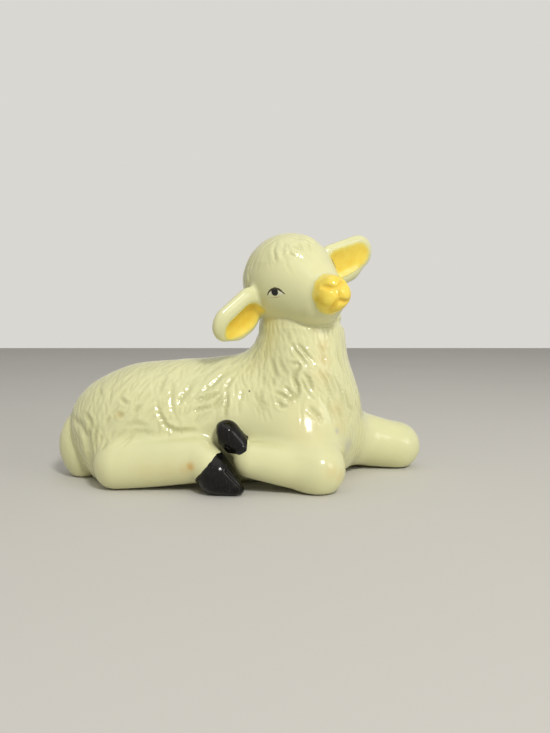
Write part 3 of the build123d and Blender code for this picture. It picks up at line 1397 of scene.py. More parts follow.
@dataclass(frozen=True)
class Hoof:
    """One hoof, with its cleft and the facets that a knife gave it."""

    side: Side
    kind: HoofKind
    heel: tuple[float, float, float]
    toe_way: tuple[float, float, float]
    heel_radius: float
    toe_radius: float
    length: float
    facets: tuple[tuple[float, float, float, float], ...] = ()
    ridge: tuple[float, float, float] = (0.0, 0.7, 0.7)
    cleft_radius: float = 0.45
    cleft_fillet: float = 0.4
    facet_fillet: float = 0.8
    paint_spread: float = 0.35
    paint_ends: tuple[tuple[float, float, float, float], ...] = ()
    paint_end_fillet: float = 0.2
    paint_rag: float = 0.08
    paint_rag_size: float = 3.2
    paint_reach: float = 11.5
    paint_past_toe: float = 0.0
    paint_toe_extra: float = 0.0

    @property
    def node(self) -> str:
        """The name of its CAD node."""
        return self.side.prefix + self.kind.value

    @cached_property
    def ends(self) -> tuple[np.ndarray, np.ndarray]:
        """The hoof's two ends.

        Returns:
            The middles of the heel and of the toe.
        """
        sign = self.side.value
        heel = on_body(*self.heel, sign)
        ahead, out, up = self.toe_way
        return heel, heel + unit(vector(ahead, sign * out, up)) * self.length

    def cuts(
        self, planes: tuple[tuple[float, float, float, float], ...], fillet: float
    ) -> list[tuple[Form, float]]:
        """Flat cuts across the hoof.

        Args:
            planes: For each, the way that it faces, ahead, out and up, and how far it is from the heel.
            fillet: How wide the rounded edge of each is.

        Returns:
            What lies beyond each plane, with its fillet.
        """
        heel, _ = self.ends
        cuts = []
        for ahead, out, up, reach in planes:
            facing = unit(vector(ahead, self.side.value * out, up))
            cuts.append((Beyond(heel + facing * reach, facing), fillet))
        return cuts

    @cached_property
    def form(self) -> Stack:
        """The finished hoof.

        Returns:
            The rounded cone, less the cleft and the facets.
        """
        sign = self.side.value
        heel, toe = self.ends
        way = unit(toe - heel)
        ridge = vector(self.ridge[0], sign * self.ridge[1], self.ridge[2])
        across = unit(ridge - way * np.dot(ridge, way))
        lean = math.asin((self.heel_radius - self.toe_radius) / self.length)
        out = way * math.sin(lean) + across * math.cos(lean)
        cleft = Limb(
            heel + out * self.heel_radius, self.cleft_radius, toe + out * self.toe_radius, self.cleft_radius
        )
        removed = ((cleft, self.cleft_fillet), *self.cuts(self.facets, self.facet_fillet))
        return Stack(Limb(heel, self.heel_radius, toe, self.toe_radius), removed=removed)

    @cached_property
    def painted(self) -> Stack:
        """The region that is painted.

        Returns:
            A form that reaches a little past the hoof, but not past where the brush ended.
        """
        heel, toe = self.ends
        past = toe + unit(toe - heel) * self.paint_past_toe
        heel_radius = self.heel_radius + self.paint_spread
        toe_radius = self.toe_radius + self.paint_spread + self.paint_toe_extra
        removed = self.cuts(self.paint_ends, self.paint_end_fillet)
        return Stack(Limb(heel, heel_radius, past, toe_radius), removed=tuple(removed))

    def paint(self, carrier: Form, paint: bpy.types.Material) -> None:
        """Paints the hoof.

        Args:
            carrier: The skin that the paint lies on.
            paint: The paint.
        """
        coat = Coat(carrier, self.painted, self.paint_rag, self.paint_rag_size)
        made, _ = coat_object("painted_" + self.node, coat, self.paint_reach, PAINT_STEP)
        dress(made, Slot.BLACK, paint, self.node)


@dataclass(frozen=True)
class Leg:
    """One folded leg as rods of bone, from where it leaves the body to where the hoof starts."""

    side: Side
    joints: tuple[tuple[float, float, float], ...]
    radii: tuple[float, ...]
    fillets: tuple[float, ...]

    @cached_property
    def forms(self) -> list[tuple[Form, float]]:
        """The leg's rods.

        Returns:
            Each rod with the fillet that it is joined with.
        """
        places = [on_body(*joint, self.side.value) for joint in self.joints]
        forms = []
        for number, fillet in enumerate(self.fillets):
            start, end = places[number], places[number + 1]
            forms.append((Limb(start, self.radii[number], end, self.radii[number + 1]), fillet))
        return forms


@dataclass(frozen=True)
class Tail:
    """The tail, a leaf that hangs down the rump, and the creases beside it."""

    root: tuple[float, float, float] = (-0.955, 0.0, 0.56)
    way: tuple[float, float, float] = (0.12, 0.0, -1.0)
    length: float = 25.0
    width: float = 14.4
    fillet: float = 1.2
    crease: tuple[tuple[float, float, float], ...] = (
        (-51.8, -9.3, 19.6),
        (-48.9, -13.0, 18.0),
        (-46.6, -15.2, 14.9),
        (-46.1, -15.2, 10.3),
        (-46.8, -12.4, 5.1),
    )
    crease_radii: tuple[float, ...] = (0.4, 0.9, 1.2, 1.1, 0.7)
    crease_fillet: float = 1.6

    @property
    def form(self) -> Leaf:
        """The leaf."""
        return Leaf(on_body(*self.root, 1), unit(vector(*self.way)), self.length, self.width)

    @property
    def creases(self) -> list[tuple[Form, float]]:
        """The valleys that part it from the haunches."""
        tracks = (Track(on_side(self.crease, side), self.crease_radii) for side in Side)
        return [(track, self.crease_fillet) for track in tracks]


@dataclass(frozen=True)
class Eye:
    """One painted eye, drawn through pixels of the photograph. It shows the lamb's right eye."""

    side: Side
    iris: tuple[float, float] = (274.7, 292.2)
    iris_radius: float = 1.08
    lash: tuple[tuple[float, float], ...] = (
        (267.6, 295.0),
        (268.5, 292.3),
        (271.0, 289.7),
        (274.7, 288.3),
        (279.0, 289.3),
        (282.0, 291.5),
        (284.8, 293.9),
    )
    lash_radii: tuple[float, ...] = (0.14, 0.2, 0.28, 0.34, 0.3, 0.22, 0.1)
    white: tuple[tuple[float, float], ...] = (
        (269.5, 293.5),
        (273.5, 293.0),
        (277.5, 292.9),
        (281.6, 293.7),
    )
    white_radii: tuple[float, ...] = (0.35, 0.62, 0.66, 0.3)
    under: tuple[tuple[float, float], ...] = (
        (268.7, 296.9),
        (272.9, 297.5),
        (277.5, 297.3),
        (281.4, 296.2),
    )
    under_radii: tuple[float, ...] = (0.06, 0.13, 0.13, 0.06)
    coat_depth: float = 0.3
    coat_soft: float = 0.08
    coat_reach: float = 4.2

    def strokes(self, head: "Head") -> tuple[tuple[str, Form, float, Slot], ...]:
        """The strokes of the brush.

        Args:
            head: The head that the eye is painted on.

        Returns:
            For each, its name, its region, how far it stands out and the slot that it belongs to.
        """
        white = Track(head.drawn(self.white, self.side), self.white_radii)
        under = Track(head.drawn(self.under, self.side), self.under_radii)
        iris = ball(head.drawn((self.iris,), self.side)[0], self.iris_radius)
        lash = Track(head.drawn(self.lash, self.side), self.lash_radii)
        return (
            ("white", white, 0.03, Slot.IVORY),
            ("under_line", under, 0.05, Slot.IVORY),
            ("iris", iris, 0.07, Slot.BLACK),
            ("lash_line", lash, 0.09, Slot.BLACK),
        )

    def paint(self, head: "Head", paints: dict[str, bpy.types.Material]) -> None:
        """Paints the eye.

        Args:
            head: The head that the eye is painted on.
            paints: The paint of each stroke by its name.
        """
        for name, region, lift, slot in self.strokes(head):
            coat = Coat(head.form, region, lift=lift, depth=self.coat_depth, soft=self.coat_soft)
            full_name = "painted_" + self.side.prefix + "eye_" + name
            made, _ = coat_object(full_name, coat, self.coat_reach, EYE_STEP)
            dress(made, slot, paints[name])


@dataclass(frozen=True)
class Head:
    """The skull and the snout, with the woolly cap that ends in a scalloped fringe."""

    snout_radius: float = 9.0
    snout_ahead: float = 11.6
    snout_drop: float = 2.8
    cap_rise: float = 0.38
    fringe: float = 0.735
    nape_edge: float = 0.12
    crown: tuple[float, float, float] = (-0.15, 0.1, 1.0)

    @cached_property
    def form(self) -> Limb:
        """The skull run into the snout."""
        snout = HEAD_CENTRE + HEAD_FORWARD * self.snout_ahead - HEAD_UP * self.snout_drop
        return Limb(HEAD_CENTRE, SKULL_RADIUS, snout, self.snout_radius)

    def place(self, way: np.ndarray) -> np.ndarray:
        """The place on the head's surface that lies in a direction from its centre.

        Args:
            way: The direction.

        Returns:
            The place, in millimetres.
        """
        place = HEAD_CENTRE + way * SKULL_RADIUS
        for _ in range(6):
            place = place - way * float(self.form.distance(place[None])[0])
        return place

    def drawn(self, line: tuple[tuple[float, float], ...], side: Side) -> np.ndarray:
        """A line that the photograph shows on the head's right side, moved to one of its sides.

        Args:
            line: The pixels that it runs through.
            side: The side.

        Returns:
            Its places in millimetres, one to a row.
        """
        ways = unit(sighted(self.form, [line])[0] - HEAD_CENTRE)
        if side is Side.LEFT:
            ways = ways - 2 * (ways @ HEAD_LEFT)[:, None] * HEAD_LEFT
        return np.array([self.place(way) for way in ways], np.float32)

    def cap(self, corners: np.ndarray) -> np.ndarray:
        """How far places lie inside the woolly cap.

        Args:
            corners: The places, in millimetres.

        Returns:
            Above zero inside the cap and below zero on the smooth face.
        """
        offset = unit(corners - HEAD_CENTRE)
        ahead, left, up = offset @ HEAD_FORWARD, offset @ HEAD_LEFT, offset @ HEAD_UP
        turn = np.arctan2(left, ahead)
        scallop = np.sin(turn * 8 + 0.6) * 0.026 + np.sin(turn * 19) * 0.01
        front = up - self.fringe - 0.03 * np.cos(turn * 2) + scallop
        return np.maximum(front, -ahead - self.nape_edge + scallop)


@dataclass(frozen=True)
class Fleece:
    """The wool: rows of short strokes, with the locks that the modeller drew one by one."""

    seed: int = 7
    spacing: float = 2.4
    shortest: float = 3.0
    longest: float = 6.8
    width: tuple[float, float] = (0.42, 0.62)
    depth: tuple[float, float] = (0.12, 0.26)
    stray: float = 0.18
    bend: float = 0.3
    lock_depth: float = 1.25
    raised_share: float = 0.2
    raised_width: tuple[float, float] = (0.9, 1.3)
    raised_height: tuple[float, float] = (0.08, 0.16)
    chest: float = 8.0
    chest_depth: float = 0.75
    hem_wobble: float = 1.5
    hem_wobble_size: float = 9.0
    neck_end: float = 2.5
    skin_gap: float = 0.6
    head_clearance: float = 0.8
    ear_clearance: float = 0.8
    leg_clearance: float = 1.1
    cap_spacing: float = 2.8
    cap_length: tuple[float, float] = (3.0, 6.0)
    cap_width: tuple[float, float] = (0.45, 0.6)
    cap_depth: tuple[float, float] = (0.06, 0.13)
    cap_stray: float = 0.1
    cap_bend: float = 0.2
    cap_edge: float = 0.03
    cap_neck: tuple[float, float] = (-3.2, -2.6)

    def comb(self, wool: Wool, lamb: "Lamb") -> None:
        """Presses the wool of the body and the head.

        Args:
            wool: The skin that is pressed.
            lamb: The lamb that it belongs to.
        """
        corners, normals, random = wool.corners, wool.normals, wool.random
        place, _ = lamb.torso.place(corners)
        head_gap = lamb.head.form.distance(corners)
        clear = lamb.limbs.distance(corners) > self.leg_clearance
        for ear in lamb.ears:
            clear &= ear.leaf.distance(corners) > self.ear_clearance
        hem = np.interp(corners[:, 0], *zip(*WOOL_HEM))
        hem = hem + ragged(corners, self.hem_wobble_size) * self.hem_wobble
        woolly = np.abs(lamb.torso.distance(corners)) < self.skin_gap
        woolly &= (head_gap > self.head_clearance) & (place < self.neck_end) & (corners[:, 2] > hem)
        for start in wool.seeds(woolly & clear, self.spacing):
            raised = random.random() < self.raised_share
            width = random.uniform(*(self.raised_width if raised else self.width))
            depth = -random.uniform(*self.raised_height) if raised else random.uniform(*self.depth)
            depth *= self.chest_depth if corners[start][0] > self.chest else 1.0
            way = self.lie(corners[start], normals[start], random.normal(0, self.stray))
            length = random.uniform(self.shortest, self.longest)
            wool.stroke(start, way, length, width, depth, random.normal(0, self.bend))
        self.comb_cap(wool, lamb, head_gap, clear)
        lines = sighted(lamb.form, [lock.line for lock in LOCKS])
        for lock, places in zip(LOCKS, lines):
            for side in Side:
                wool.follow(on_side(places, side), lock.width, lock.depth * self.lock_depth)
        for lock in HEAD_LOCKS:
            for side in Side:
                wool.follow(lamb.head.drawn(lock.line, side), lock.width, lock.depth)

    def lie(self, here: np.ndarray, normal: np.ndarray, spread: float) -> np.ndarray:
        """The way that the wool lies at a place.

        Args:
            here: The place.
            normal: The skin's normal there.
            spread: How far this stroke strays from the others.

        Returns:
            The way, not yet along the skin.
        """
        ways = np.array(WOOL_WAYS, np.float32)
        weight = 1 / (((ways[:, :2] - here[[0, 2]]) ** 2).sum(-1) + 6.0) ** 2
        ahead, up = (ways[:, 2:] * weight[:, None]).sum(0) / weight.sum()
        outward = math.copysign(0.9, here[1]) * max(float(normal[2]), 0.0)
        return vector(ahead + spread, outward, up)

    def comb_cap(self, wool: Wool, lamb: "Lamb", head_gap: np.ndarray, clear: np.ndarray) -> None:
        """Raises the cap of the head and presses its strands, which run down from the crown.

        Args:
            wool: The skin that is pressed.
            lamb: The lamb that it belongs to.
            head_gap: How far each corner lies from the head.
            clear: Which corners are clear of the ears.
        """
        random = wool.random
        cap = lamb.head.cap(wool.corners)
        place, _ = lamb.torso.place(wool.corners)
        on_head = np.abs(head_gap) < self.skin_gap
        crown = in_head(*lamb.head.crown)
        for start in wool.seeds(on_head & clear & (cap > self.cap_edge), self.cap_spacing):
            offset = unit(wool.corners[start] - HEAD_CENTRE)
            way = unit(offset * np.dot(offset, crown) - crown) + random.normal(0, self.cap_stray, 3)
            depth = random.uniform(*self.cap_depth)
            length = random.uniform(*self.cap_length)
            width = random.uniform(*self.cap_width)
            wool.stroke(start, way, length, width, depth, random.normal(0, self.cap_bend))
        above_neck = smooth_step(-place, *self.cap_neck)
        wool.rise += lamb.head.cap_rise * smooth_step(cap, -0.01, self.cap_edge) * on_head * above_neck


def coat_object(name: str, coat: Coat, reach: float, step: float) -> tuple[bpy.types.Object, np.ndarray]:
    """A coat of paint as a mesh object that thins out towards its edge.

    Args:
        name: The object's name.
        coat: The coat.
        reach: How far it is looked for from the middle of its region.
        step: The size of its faces.

    Returns:
        The object, and its corners in millimetres.
    """
    middle, _ = coat.region.bounds()
    corners, _, quads = Mould(coat, *box_around(middle, reach), step).surface()
    made = make_object(name, corners, quads)
    set_layer(made, "thin", smooth_step(coat.edge(corners), -1.0, -0.05))
    return made, corners


@dataclass(frozen=True)
class Lamb:
    """The whole lamb: its castings run together, its skin and the paint on it."""

    torso: Torso
    head: Head
    muzzle: Muzzle
    ears: tuple[Ear, ...]
    legs: tuple[Leg, ...]
    hooves: tuple[Hoof, ...]
    tail: Tail
    fleece: Fleece
    muzzle_fillet: float = 1.6
    head_fillet: float = 0.6
    ear_fillet: float = 1.6
    hoof_fillet: float = 0.8
    foot_fillet: float = 1.2
    vent_radius: float = 1.75
    vent_depth: float = 7.0
    vent_fillet: float = 0.4
    low: tuple[float, float, float] = (-62.0, -31.0, -2.0)
    high: tuple[float, float, float] = (62.0, 31.0, 80.0)

    @cached_property
    def limbs(self) -> Stack:
        """The legs alone."""
        forms = [pair for leg in self.legs for pair in leg.forms]
        return Stack(forms[0][0], tuple(forms[1:]))

    @cached_property
    def form(self) -> Stack:
        """The whole lamb, stuck together and smoothed with a wet brush.

        Returns:
            Every form run together, less the vent, the creases by the tail and what lies below the floor.
        """
        face = Stack(self.head.form, ((self.muzzle.form, self.muzzle_fillet),))
        added = [pair for leg in self.legs for pair in leg.forms]
        added += [(self.tail.form, self.tail.fillet), (face, self.head_fillet)]
        added += [(ear.form, self.ear_fillet) for ear in self.ears]
        added += [(hoof.form, self.hoof_fillet) for hoof in self.hooves]
        radius = self.vent_radius
        vent = Limb(vector(0, 0, -3), radius, vector(0, 0, self.vent_depth), radius)
        removed = ((vent, self.vent_fillet), *self.tail.creases)
        return Stack(self.torso, tuple(added), removed, self.foot_fillet)

    def build_skin(self, glaze: bpy.types.Material) -> None:
        """Meshes the skin, presses the wool and keeps where the stains lie.

        Args:
            glaze: The glaze.
        """
        painted = (self.muzzle.painted, *(piece.painted for piece in (*self.ears, *self.hooves)))
        mould = Mould(Sunk(self.form, painted), vector(*self.low), vector(*self.high), SKIN_STEP)
        corners, normals, quads = mould.surface()
        wool = Wool(corners, normals, self.fleece.seed)
        self.fleece.comb(wool, self)
        made = make_object("lamb_skin", wool.press(), quads)
        set_layer(made, "groove", wool.groove)
        for name, stains in (("stain", STAINS), ("cool_stain", COOL_STAINS)):
            strength = np.zeros(len(corners), np.float32)
            places = sighted(self.form, [tuple(stain.pixel for stain in stains)])[0]
            for stain, place in zip(stains, places):
                apart = ((corners - place) ** 2).sum(-1) / stain.spread**2
                strength = np.maximum(strength, stain.strength * np.exp(-apart))
            set_layer(made, name, strength)
        nodes = ["body_shell", "head_shell", "tail"]
        for side in Side:
            nodes += [side.prefix + node for node in ("ear", "hind_leg", "foreleg")]
        dress(made, Slot.IVORY, glaze, *nodes)


def model_lamb() -> Lamb:
    """The lamb with the sizes and places of the CAD model.

    Returns:
        The lamb.
    """
    right, left = Side.RIGHT, Side.LEFT
    shoulders = {right: (0.30, 0.34, 0.46), left: (0.60, 0.58, 0.30)}
    knees = {right: (0.455, 1.14, 0.17), left: (0.955, 0.68, 0.19)}
    ankles = {right: (0.12, 1.17, 0.245), left: (0.46, 1.02, 0.15)}
    legs = []
    for side in Side:
        hind = ((-0.63, 0.87, 0.18), (-0.18, 1.00, 0.23))
        legs.append(Leg(side, hind, (7.6, 6.8), (2.2,)))
        legs.append(Leg(side, ((-0.11, 1.18, 0.215), (-0.11, 1.18, 0.216)), (5.0, 5.0), (2.0,)))
        legs.append(Leg(side, (shoulders[side], knees[side]), (9.6, 7.6), (9.0,)))
        legs.append(Leg(side, (ankles[side], knees[side]), (5.3, 7.2), (2.4,)))
    hooves = [
        Hoof(
            side,
            HoofKind.HIND,
            heel=(-0.055, 1.24, 0.145),
            toe_way=(0.86, 0.35, -0.50),
            heel_radius=6.0,
            toe_radius=2.6,
            length=6.6,
            facets=((-0.77, 0.0, 0.64, 4.2), (0.81, 0.0, 0.58, 4.3)),
            paint_spread=0.7,
            paint_ends=((-0.76, 0.0, 0.65, 4.15), (0.82, 0.0, 0.57, 4.9), (0.0, 0.0, 1.0, 6.3)),
        )
        for side in Side
    ]
    hooves.append(
        Hoof(
            right,
            HoofKind.FORE,
            heel=(-0.005, 1.12, 0.44),
            toe_way=(0.68, 0.10, -0.73),
            heel_radius=3.9,
            toe_radius=3.4,
            length=4.6,
            facets=((-0.80, 0.1, -0.10, 2.9), (-0.30, 0.9, -0.25, 3.2), (0.25, 0.5, 0.85, 3.75)),
            ridge=(0.0, -0.7, -0.7),
            paint_spread=0.45,
            paint_past_toe=0.9,
            paint_toe_extra=0.9,
            paint_ends=((1.0, 0.0, 0.0, 6.1), (0.55, 0.0, -0.83, 6.9), (0.0, 0.0, -1.0, 5.5)),
        )
    )
    hooves.append(
        Hoof(
            left,
            HoofKind.FORE,
            heel=(0.33, 1.06, 0.15),
            toe_way=(-1.0, 0.10, -0.10),
            heel_radius=4.6,
            toe_radius=3.4,
            length=5.0,
            facets=((-0.50, 0.7, 0.50, 3.9),),
        )
    )
    ears = (
        Ear(right, (0.09, 0.97, -0.17), 20.4, scoop_shift=2.1, scoop_edge=1.7, hollow=2.6, pooling=0.16),
        Ear(left, (0.13, 0.98, 0.02), 22.0, 0.3, 1.2, hollow=1.9, pooling=0.08, face_way=(1.0, 0.0, 0.1)),
    )
    return Lamb(Torso(), Head(), Muzzle(), ears, tuple(legs), tuple(hooves), Tail(), Fleece())


def linear(hex_colour: str) -> tuple[float, float, float, float]:
    """A colour as the shaders take it.

    Args:
        hex_colour: The sRGB colour, as six hex digits.

    Returns:
        The linear colour with full opacity.
    """
    channels = []
    for start in (0, 2, 4):
        value = int(hex_colour[start : start + 2], 16) / 255
        channels.append(value / 12.92 if value <= 0.04045 else ((value + 0.055) / 1.055) ** 2.4)
    return (*channels, 1.0)


def add_node(
    tree: bpy.types.NodeTree, kind: str, inputs: dict | None = None, **settings: object
) -> bpy.types.Node:
    """One shader node with its settings, values and links.

    Args:
        tree: The node tree.
        kind: The node's type.
        inputs: A value, or the output of another node, for each input by name or number.
        settings: The node's own settings.

    Returns:
        The node.
    """
    node = tree.nodes.new(kind)
    for name, value in settings.items():
        setattr(node, name, value)
    for name, value in (inputs or {}).items():
        if isinstance(value, bpy.types.NodeSocket):
            tree.links.new(value, node.inputs[name])
        else:
            node.inputs[name].default_value = value
    return node


@dataclass(frozen=True)
class Glaze:
    """A glossy lead-type glaze over a brushed underglaze colour. Pattern sizes are millimetres."""

    name: str
    colour: str
    cloud: str
    pooled: str
    cloud_size: float
    roughness: float = 0.11
    gloss: float = 0.5
    pooling: float = 0.6
    thin: str = ""
    streaks: str = ""
    marked: bool = False


# Clear glaze over ivory earthenware: a warm greenish white, darker where it pools.
IVORY = Glaze("ivory_glaze", "E0DEAC", "D8D8A8", "B2B27E", 17.0, roughness=0.14, gloss=0.44, marked=True)
# Yellow underglaze, put on with a brush: deeper where it lies thick in a crease or a scoop, and in the
# ears' scoops also painted shade under the rim.
YELLOW = Glaze("yellow_glaze", "F6DE5C", "F1D34E", "E6AC24", 2.6, pooling=0.9, thin="DFDC8C")
# Black underglaze: near black, with brown-grey streaks: partly the ivory body showing between the brush's
# hairs, partly painted sheen.
BLACK = Glaze("black_glaze", "0A0A0B", "131210", "1E1D1A", 1.2, gloss=0.26, streaks="514E44")
# The paints of the eye: one or two strokes of a fine brush each.
IRIS_BLACK = Glaze("iris_black", "0B0A09", "17130F", "0B0A09", 0.8)
LASH_BROWN = Glaze("lash_brown", "2C281A", "4A4630", "1E1B12", 0.7)
EYE_WHITE = Glaze("eye_white", "E6E5D2", "DCDBC4", "D0CEB4", 0.9)
LINE_PINK = Glaze("line_pink", "B79F8A", "C9B79C", "A8907C", 0.6)

# The marks: the speck's place and size, the height of the bare foot ring, and their colours.
SPECK = (2.5, -15.2, 28.9)
SPECK_RADIUS = 0.32
FOOT_RING = 0.15
STAIN_COLOUR = "D2A24A"
COOL_COLOUR = "A8A7AC"
SPECK_COLOUR = "4A4433"
BISQUE_COLOUR = "DDD6C2"

# The patterns of the glaze, in millimetres, and how the streaks, brushed and partly painted sheen, are
# turned.
RIPPLE_SIZE = 1.6
RIPPLE_HEIGHT = 0.05
STREAK_SIZE = 0.32
STREAK_LENGTH = 5.0
STREAK_TURN = (0.3, math.radians(40), 0.0)


@dataclass(frozen=True)
class Layer:
    """A colour laid over the glaze, from nothing where a reading is low to its most where high."""

    colour: str
    reading: bpy.types.NodeSocket
    low: float = 0.0
    high: float = 1.0
    most: float = 1.0


def glaze_material(glaze: Glaze) -> bpy.types.Material:
    """A glazed colour with its clouds, its pooled grooves and its marks.

    Args:
        glaze: The glaze.

    Returns:
        The material.
    """
    material = bpy.data.materials.new(glaze.name)
    material.use_nodes = True
    tree = material.node_tree
    tree.nodes.clear()
    place = add_node(tree, "ShaderNodeTexCoord").outputs["Object"]
    # Clouds: the glaze is never quite even in thickness, so its colour drifts over the form.
    size = 1 / (glaze.cloud_size * MM)
    cloud = add_node(tree, "ShaderNodeTexNoise", {"Vector": place, "Scale": size, "Detail": 3.0})
    layers = [Layer(glaze.cloud, cloud.outputs["Fac"], 0.35, 0.65)]
    # Pooling: molten glaze runs into the grooves, lies thicker there and looks deeper. In the ears' scoops
    # this layer also carries painted shade under the rim.
    groove = add_node(tree, "ShaderNodeAttribute", attribute_name="groove")
    layers.append(Layer(glaze.pooled, groove.outputs["Fac"], 0.03, 0.4, glaze.pooling))
    if glaze.thin:
        # Thin edges: the brush ran dry there, and the ivory body shows through.
        thin = add_node(tree, "ShaderNodeAttribute", attribute_name="thin")
        layers.append(Layer(glaze.thin, thin.outputs["Fac"], most=0.75))
    if glaze.streaks:
        # Streaks: a stiff brush leaves thin lines that run along its stroke; their grey also paints the
        # streaky sheen of the hooves' highlights.
        across = 1 / (STREAK_SIZE * MM)
        turned = add_node(
            tree,
            "ShaderNodeMapping",
            {
                "Vector": place,
                "Rotation": STREAK_TURN,
                "Scale": (across, across, 1 / (STREAK_LENGTH * MM)),
            },
        )
        streak_sheen_noise = add_node(
            tree, "ShaderNodeTexNoise", {"Vector": turned.outputs[0], "Scale": 1.0, "Detail": 2.0}
        )
        layers.append(Layer(glaze.streaks, streak_sheen_noise.outputs["Fac"], 0.60, 0.76, 0.6))
    if glaze.marked:
        # Marks: overspray and iron stains under the glaze, a speck, and the bare foot ring.
        stain = add_node(tree, "ShaderNodeAttribute", attribute_name="stain")
        cool = add_node(tree, "ShaderNodeAttribute", attribute_name="cool_stain")
        speck = tuple(part * MM for part in SPECK)
        apart = add_node(tree, "ShaderNodeVectorMath", {0: place, 1: speck}, operation="DISTANCE")
        edge = SPECK_RADIUS * MM
        height = add_node(tree, "ShaderNodeSeparateXYZ", {0: place})
        layers += [
            Layer(STAIN_COLOUR, stain.outputs["Fac"]),
            Layer(COOL_COLOUR, cool.outputs["Fac"]),
            Layer(SPECK_COLOUR, apart.outputs["Value"], edge * 1.2, edge * 0.6, 0.9),
            Layer(BISQUE_COLOUR, height.outputs["Z"], (FOOT_RING + 0.1) * MM, FOOT_RING * MM),
        ]
    colour = linear(glaze.colour)
    for layer in layers:
        amount = add_node(
            tree,
            "ShaderNodeMapRange",
            {
                "Value": layer.reading,
                "From Min": layer.low,
                "From Max": layer.high,
                "To Max": layer.most,
            },
        )
        inputs = {0: amount.outputs["Result"], 6: colour, 7: linear(layer.colour)}
        colour = add_node(tree, "ShaderNodeMix", inputs, data_type="RGBA").outputs[2]
    # Ripple: a fired glaze is smooth but not flat, which breaks up its highlights.
    ripple = add_node(
        tree, "ShaderNodeTexNoise", {"Vector": place, "Scale": 1 / (RIPPLE_SIZE * MM), "Detail": 2.0}
    )
    bump = add_node(
        tree,
        "ShaderNodeBump",
        {"Height": ripple.outputs["Fac"], "Distance": RIPPLE_HEIGHT * MM, "Strength": 0.6},
    )
    # Gloss: hard and mirror-like, a little duller where the glaze lies thin.
    dull = add_node(
        tree,
        "ShaderNodeMapRange",
        {"Value": cloud.outputs["Fac"], "From Min": 0.3, "From Max": 0.8, "To Max": 0.06},
    )
    rough = add_node(
        tree, "ShaderNodeMath", {0: dull.outputs["Result"], 1: glaze.roughness}, operation="ADD"
    )
    shader = add_node(
        tree,
        "ShaderNodeBsdfPrincipled",
        {
            "Base Color": colour,
            "Roughness": rough.outputs[0],
            "IOR": 1.5,
            "Specular IOR Level": glaze.gloss,
            "Normal": bump.outputs["Normal"],
        },
    )
    add_node(tree, "ShaderNodeOutputMaterial", {"Surface": shader.outputs[0]})
    return material


# The studio: the camera's sensor in millimetres, the floor in metres, its two shades, the
# background's colour and how much of it lights the lamb, and the lamps' power and colour.
SENSOR = 36.0
CLIP_START = 0.01
FLOOR_SIZE = 2.4
FLOOR_MIDDLE = -0.2
FLOOR_COLOURS = ("D2D0CB", "CBC9C4")
FLOOR_ROUGHNESS = 0.8
BACKGROUND_COLOUR = "D9D7D2"
AMBIENT = 0.5
LAMP_TARGET = (0.0, 0.0, 0.035)
LAMP_COLOUR = "FFFDF8"
KEY_WATTS = 4.0
SIDE_WATTS = 0.9
OVERHEAD_WATTS = 1.2


def place_camera() -> None:
    """The camera where the photograph was taken from."""
    data = bpy.data.cameras.new("camera")
    data.sensor_width = SENSOR
    data.lens = FOCAL_PX / PHOTO_PX[1] * SENSOR
    data.clip_start = CLIP_START
    camera = bpy.data.objects.new("camera", data)
    camera.location = Vector(CAMERA_PLACE * MM)
    camera.rotation_euler = (math.radians(90 - CAMERA_DROP), 0, 0)
    bpy.context.scene.collection.objects.link(camera)
    bpy.context.scene.camera = camera


def add_lamp(name: str, place: tuple[float, float, float], size: float, watts: float) -> None:
    """A square soft lamp that faces the lamb.

    Args:
        name: The lamp's name.
        place: Where it stands, in metres.
        size: How wide it is, in metres.
        watts: Its power.
    """
    data = bpy.data.lights.new(name, "AREA")
    data.size = size
    data.energy = watts
    data.color = linear(LAMP_COLOUR)[:3]
    lamp = bpy.data.objects.new(name, data)
    lamp.location = Vector(place)
    lamp.rotation_euler = (Vector(LAMP_TARGET) - lamp.location).to_track_quat("-Z", "Y").to_euler()
    bpy.context.scene.collection.objects.link(lamp)


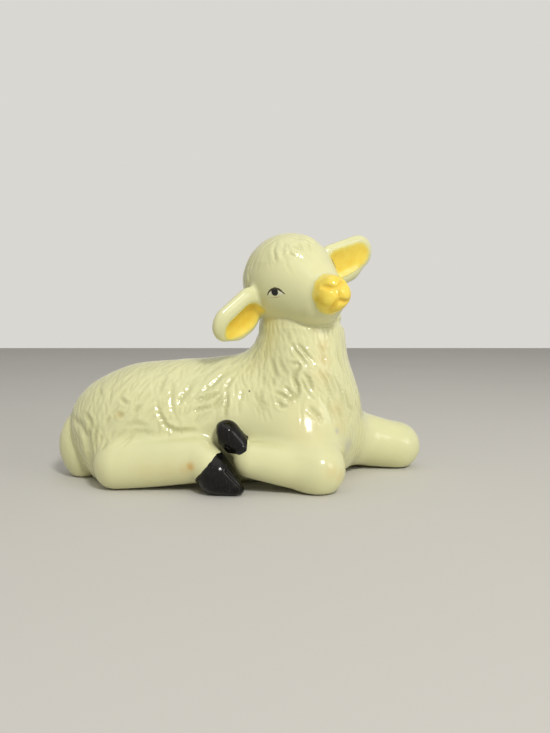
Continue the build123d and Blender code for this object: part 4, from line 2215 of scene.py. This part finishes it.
def build_studio() -> None:
    """A plain pale floor, a pale background and soft lamps."""
    bpy.ops.mesh.primitive_plane_add(size=FLOOR_SIZE, location=(0.0, FLOOR_MIDDLE, 0.0))
    floor = bpy.context.object
    floor.name = "floor"
    material = bpy.data.materials.new("matt_paper")
    material.use_nodes = True
    tree = material.node_tree
    shader = tree.nodes["Principled BSDF"]
    # Matt paper: even and dull, with hardly any cloud in its tone.
    place = add_node(tree, "ShaderNodeTexCoord").outputs["Object"]
    cloud = add_node(tree, "ShaderNodeTexNoise", {"Vector": place, "Scale": 6.0, "Detail": 2.0})
    tone = add_node(
        tree,
        "ShaderNodeMix",
        {0: cloud.outputs["Fac"], 6: linear(FLOOR_COLOURS[0]), 7: linear(FLOOR_COLOURS[1])},
        data_type="RGBA",
    )
    tree.links.new(tone.outputs[2], shader.inputs["Base Color"])
    shader.inputs["Roughness"].default_value = FLOOR_ROUGHNESS
    floor.data.materials.append(material)
    world = bpy.data.worlds.new("studio")
    bpy.context.scene.world = world
    world.use_nodes = True
    tree = world.node_tree
    tree.nodes.clear()
    # The background is seen at its own colour, and lights the lamb only softly.
    path = add_node(tree, "ShaderNodeLightPath")
    seen = path.outputs["Is Camera Ray"]
    for ray in ("Is Glossy Ray", "Is Transmission Ray"):
        either = add_node(tree, "ShaderNodeMath", {0: seen, 1: path.outputs[ray]}, operation="MAXIMUM")
        seen = either.outputs[0]
    strength = add_node(tree, "ShaderNodeMapRange", {"Value": seen, "To Min": AMBIENT, "To Max": 1.0})
    sky = add_node(
        tree,
        "ShaderNodeBackground",
        {"Color": linear(BACKGROUND_COLOUR), "Strength": strength.outputs["Result"]},
    )
    add_node(tree, "ShaderNodeOutputWorld", {"Surface": sky.outputs[0]})
    add_lamp("key", (0.26, -0.62, 0.56), 0.14, KEY_WATTS)
    add_lamp("side", (0.62, -0.46, 0.30), 0.30, SIDE_WATTS)
    add_lamp("overhead", (0.0, -0.12, 0.9), 0.8, OVERHEAD_WATTS)
    bpy.context.scene.view_settings.view_transform = "Standard"


def main() -> None:
    """Builds the whole picture."""
    logging.basicConfig(level=logging.INFO, format="%(message)s")
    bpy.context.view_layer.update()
    place_camera()
    build_studio()
    lamb = model_lamb()
    yellow, black = glaze_material(YELLOW), glaze_material(BLACK)
    lamb.build_skin(glaze_material(IVORY))
    lamb.muzzle.paint(lamb.form, yellow)
    for ear in lamb.ears:
        ear.paint(lamb.form, yellow)
    for hoof in lamb.hooves:
        hoof.paint(lamb.form, black)
    eye_paints = {
        "white": glaze_material(EYE_WHITE),
        "under_line": glaze_material(LINE_PINK),
        "iris": glaze_material(IRIS_BLACK),
        "lash_line": glaze_material(LASH_BROWN),
    }
    for side in Side:
        Eye(side).paint(lamb.head, eye_paints)


if __name__ == "__main__":
    main()
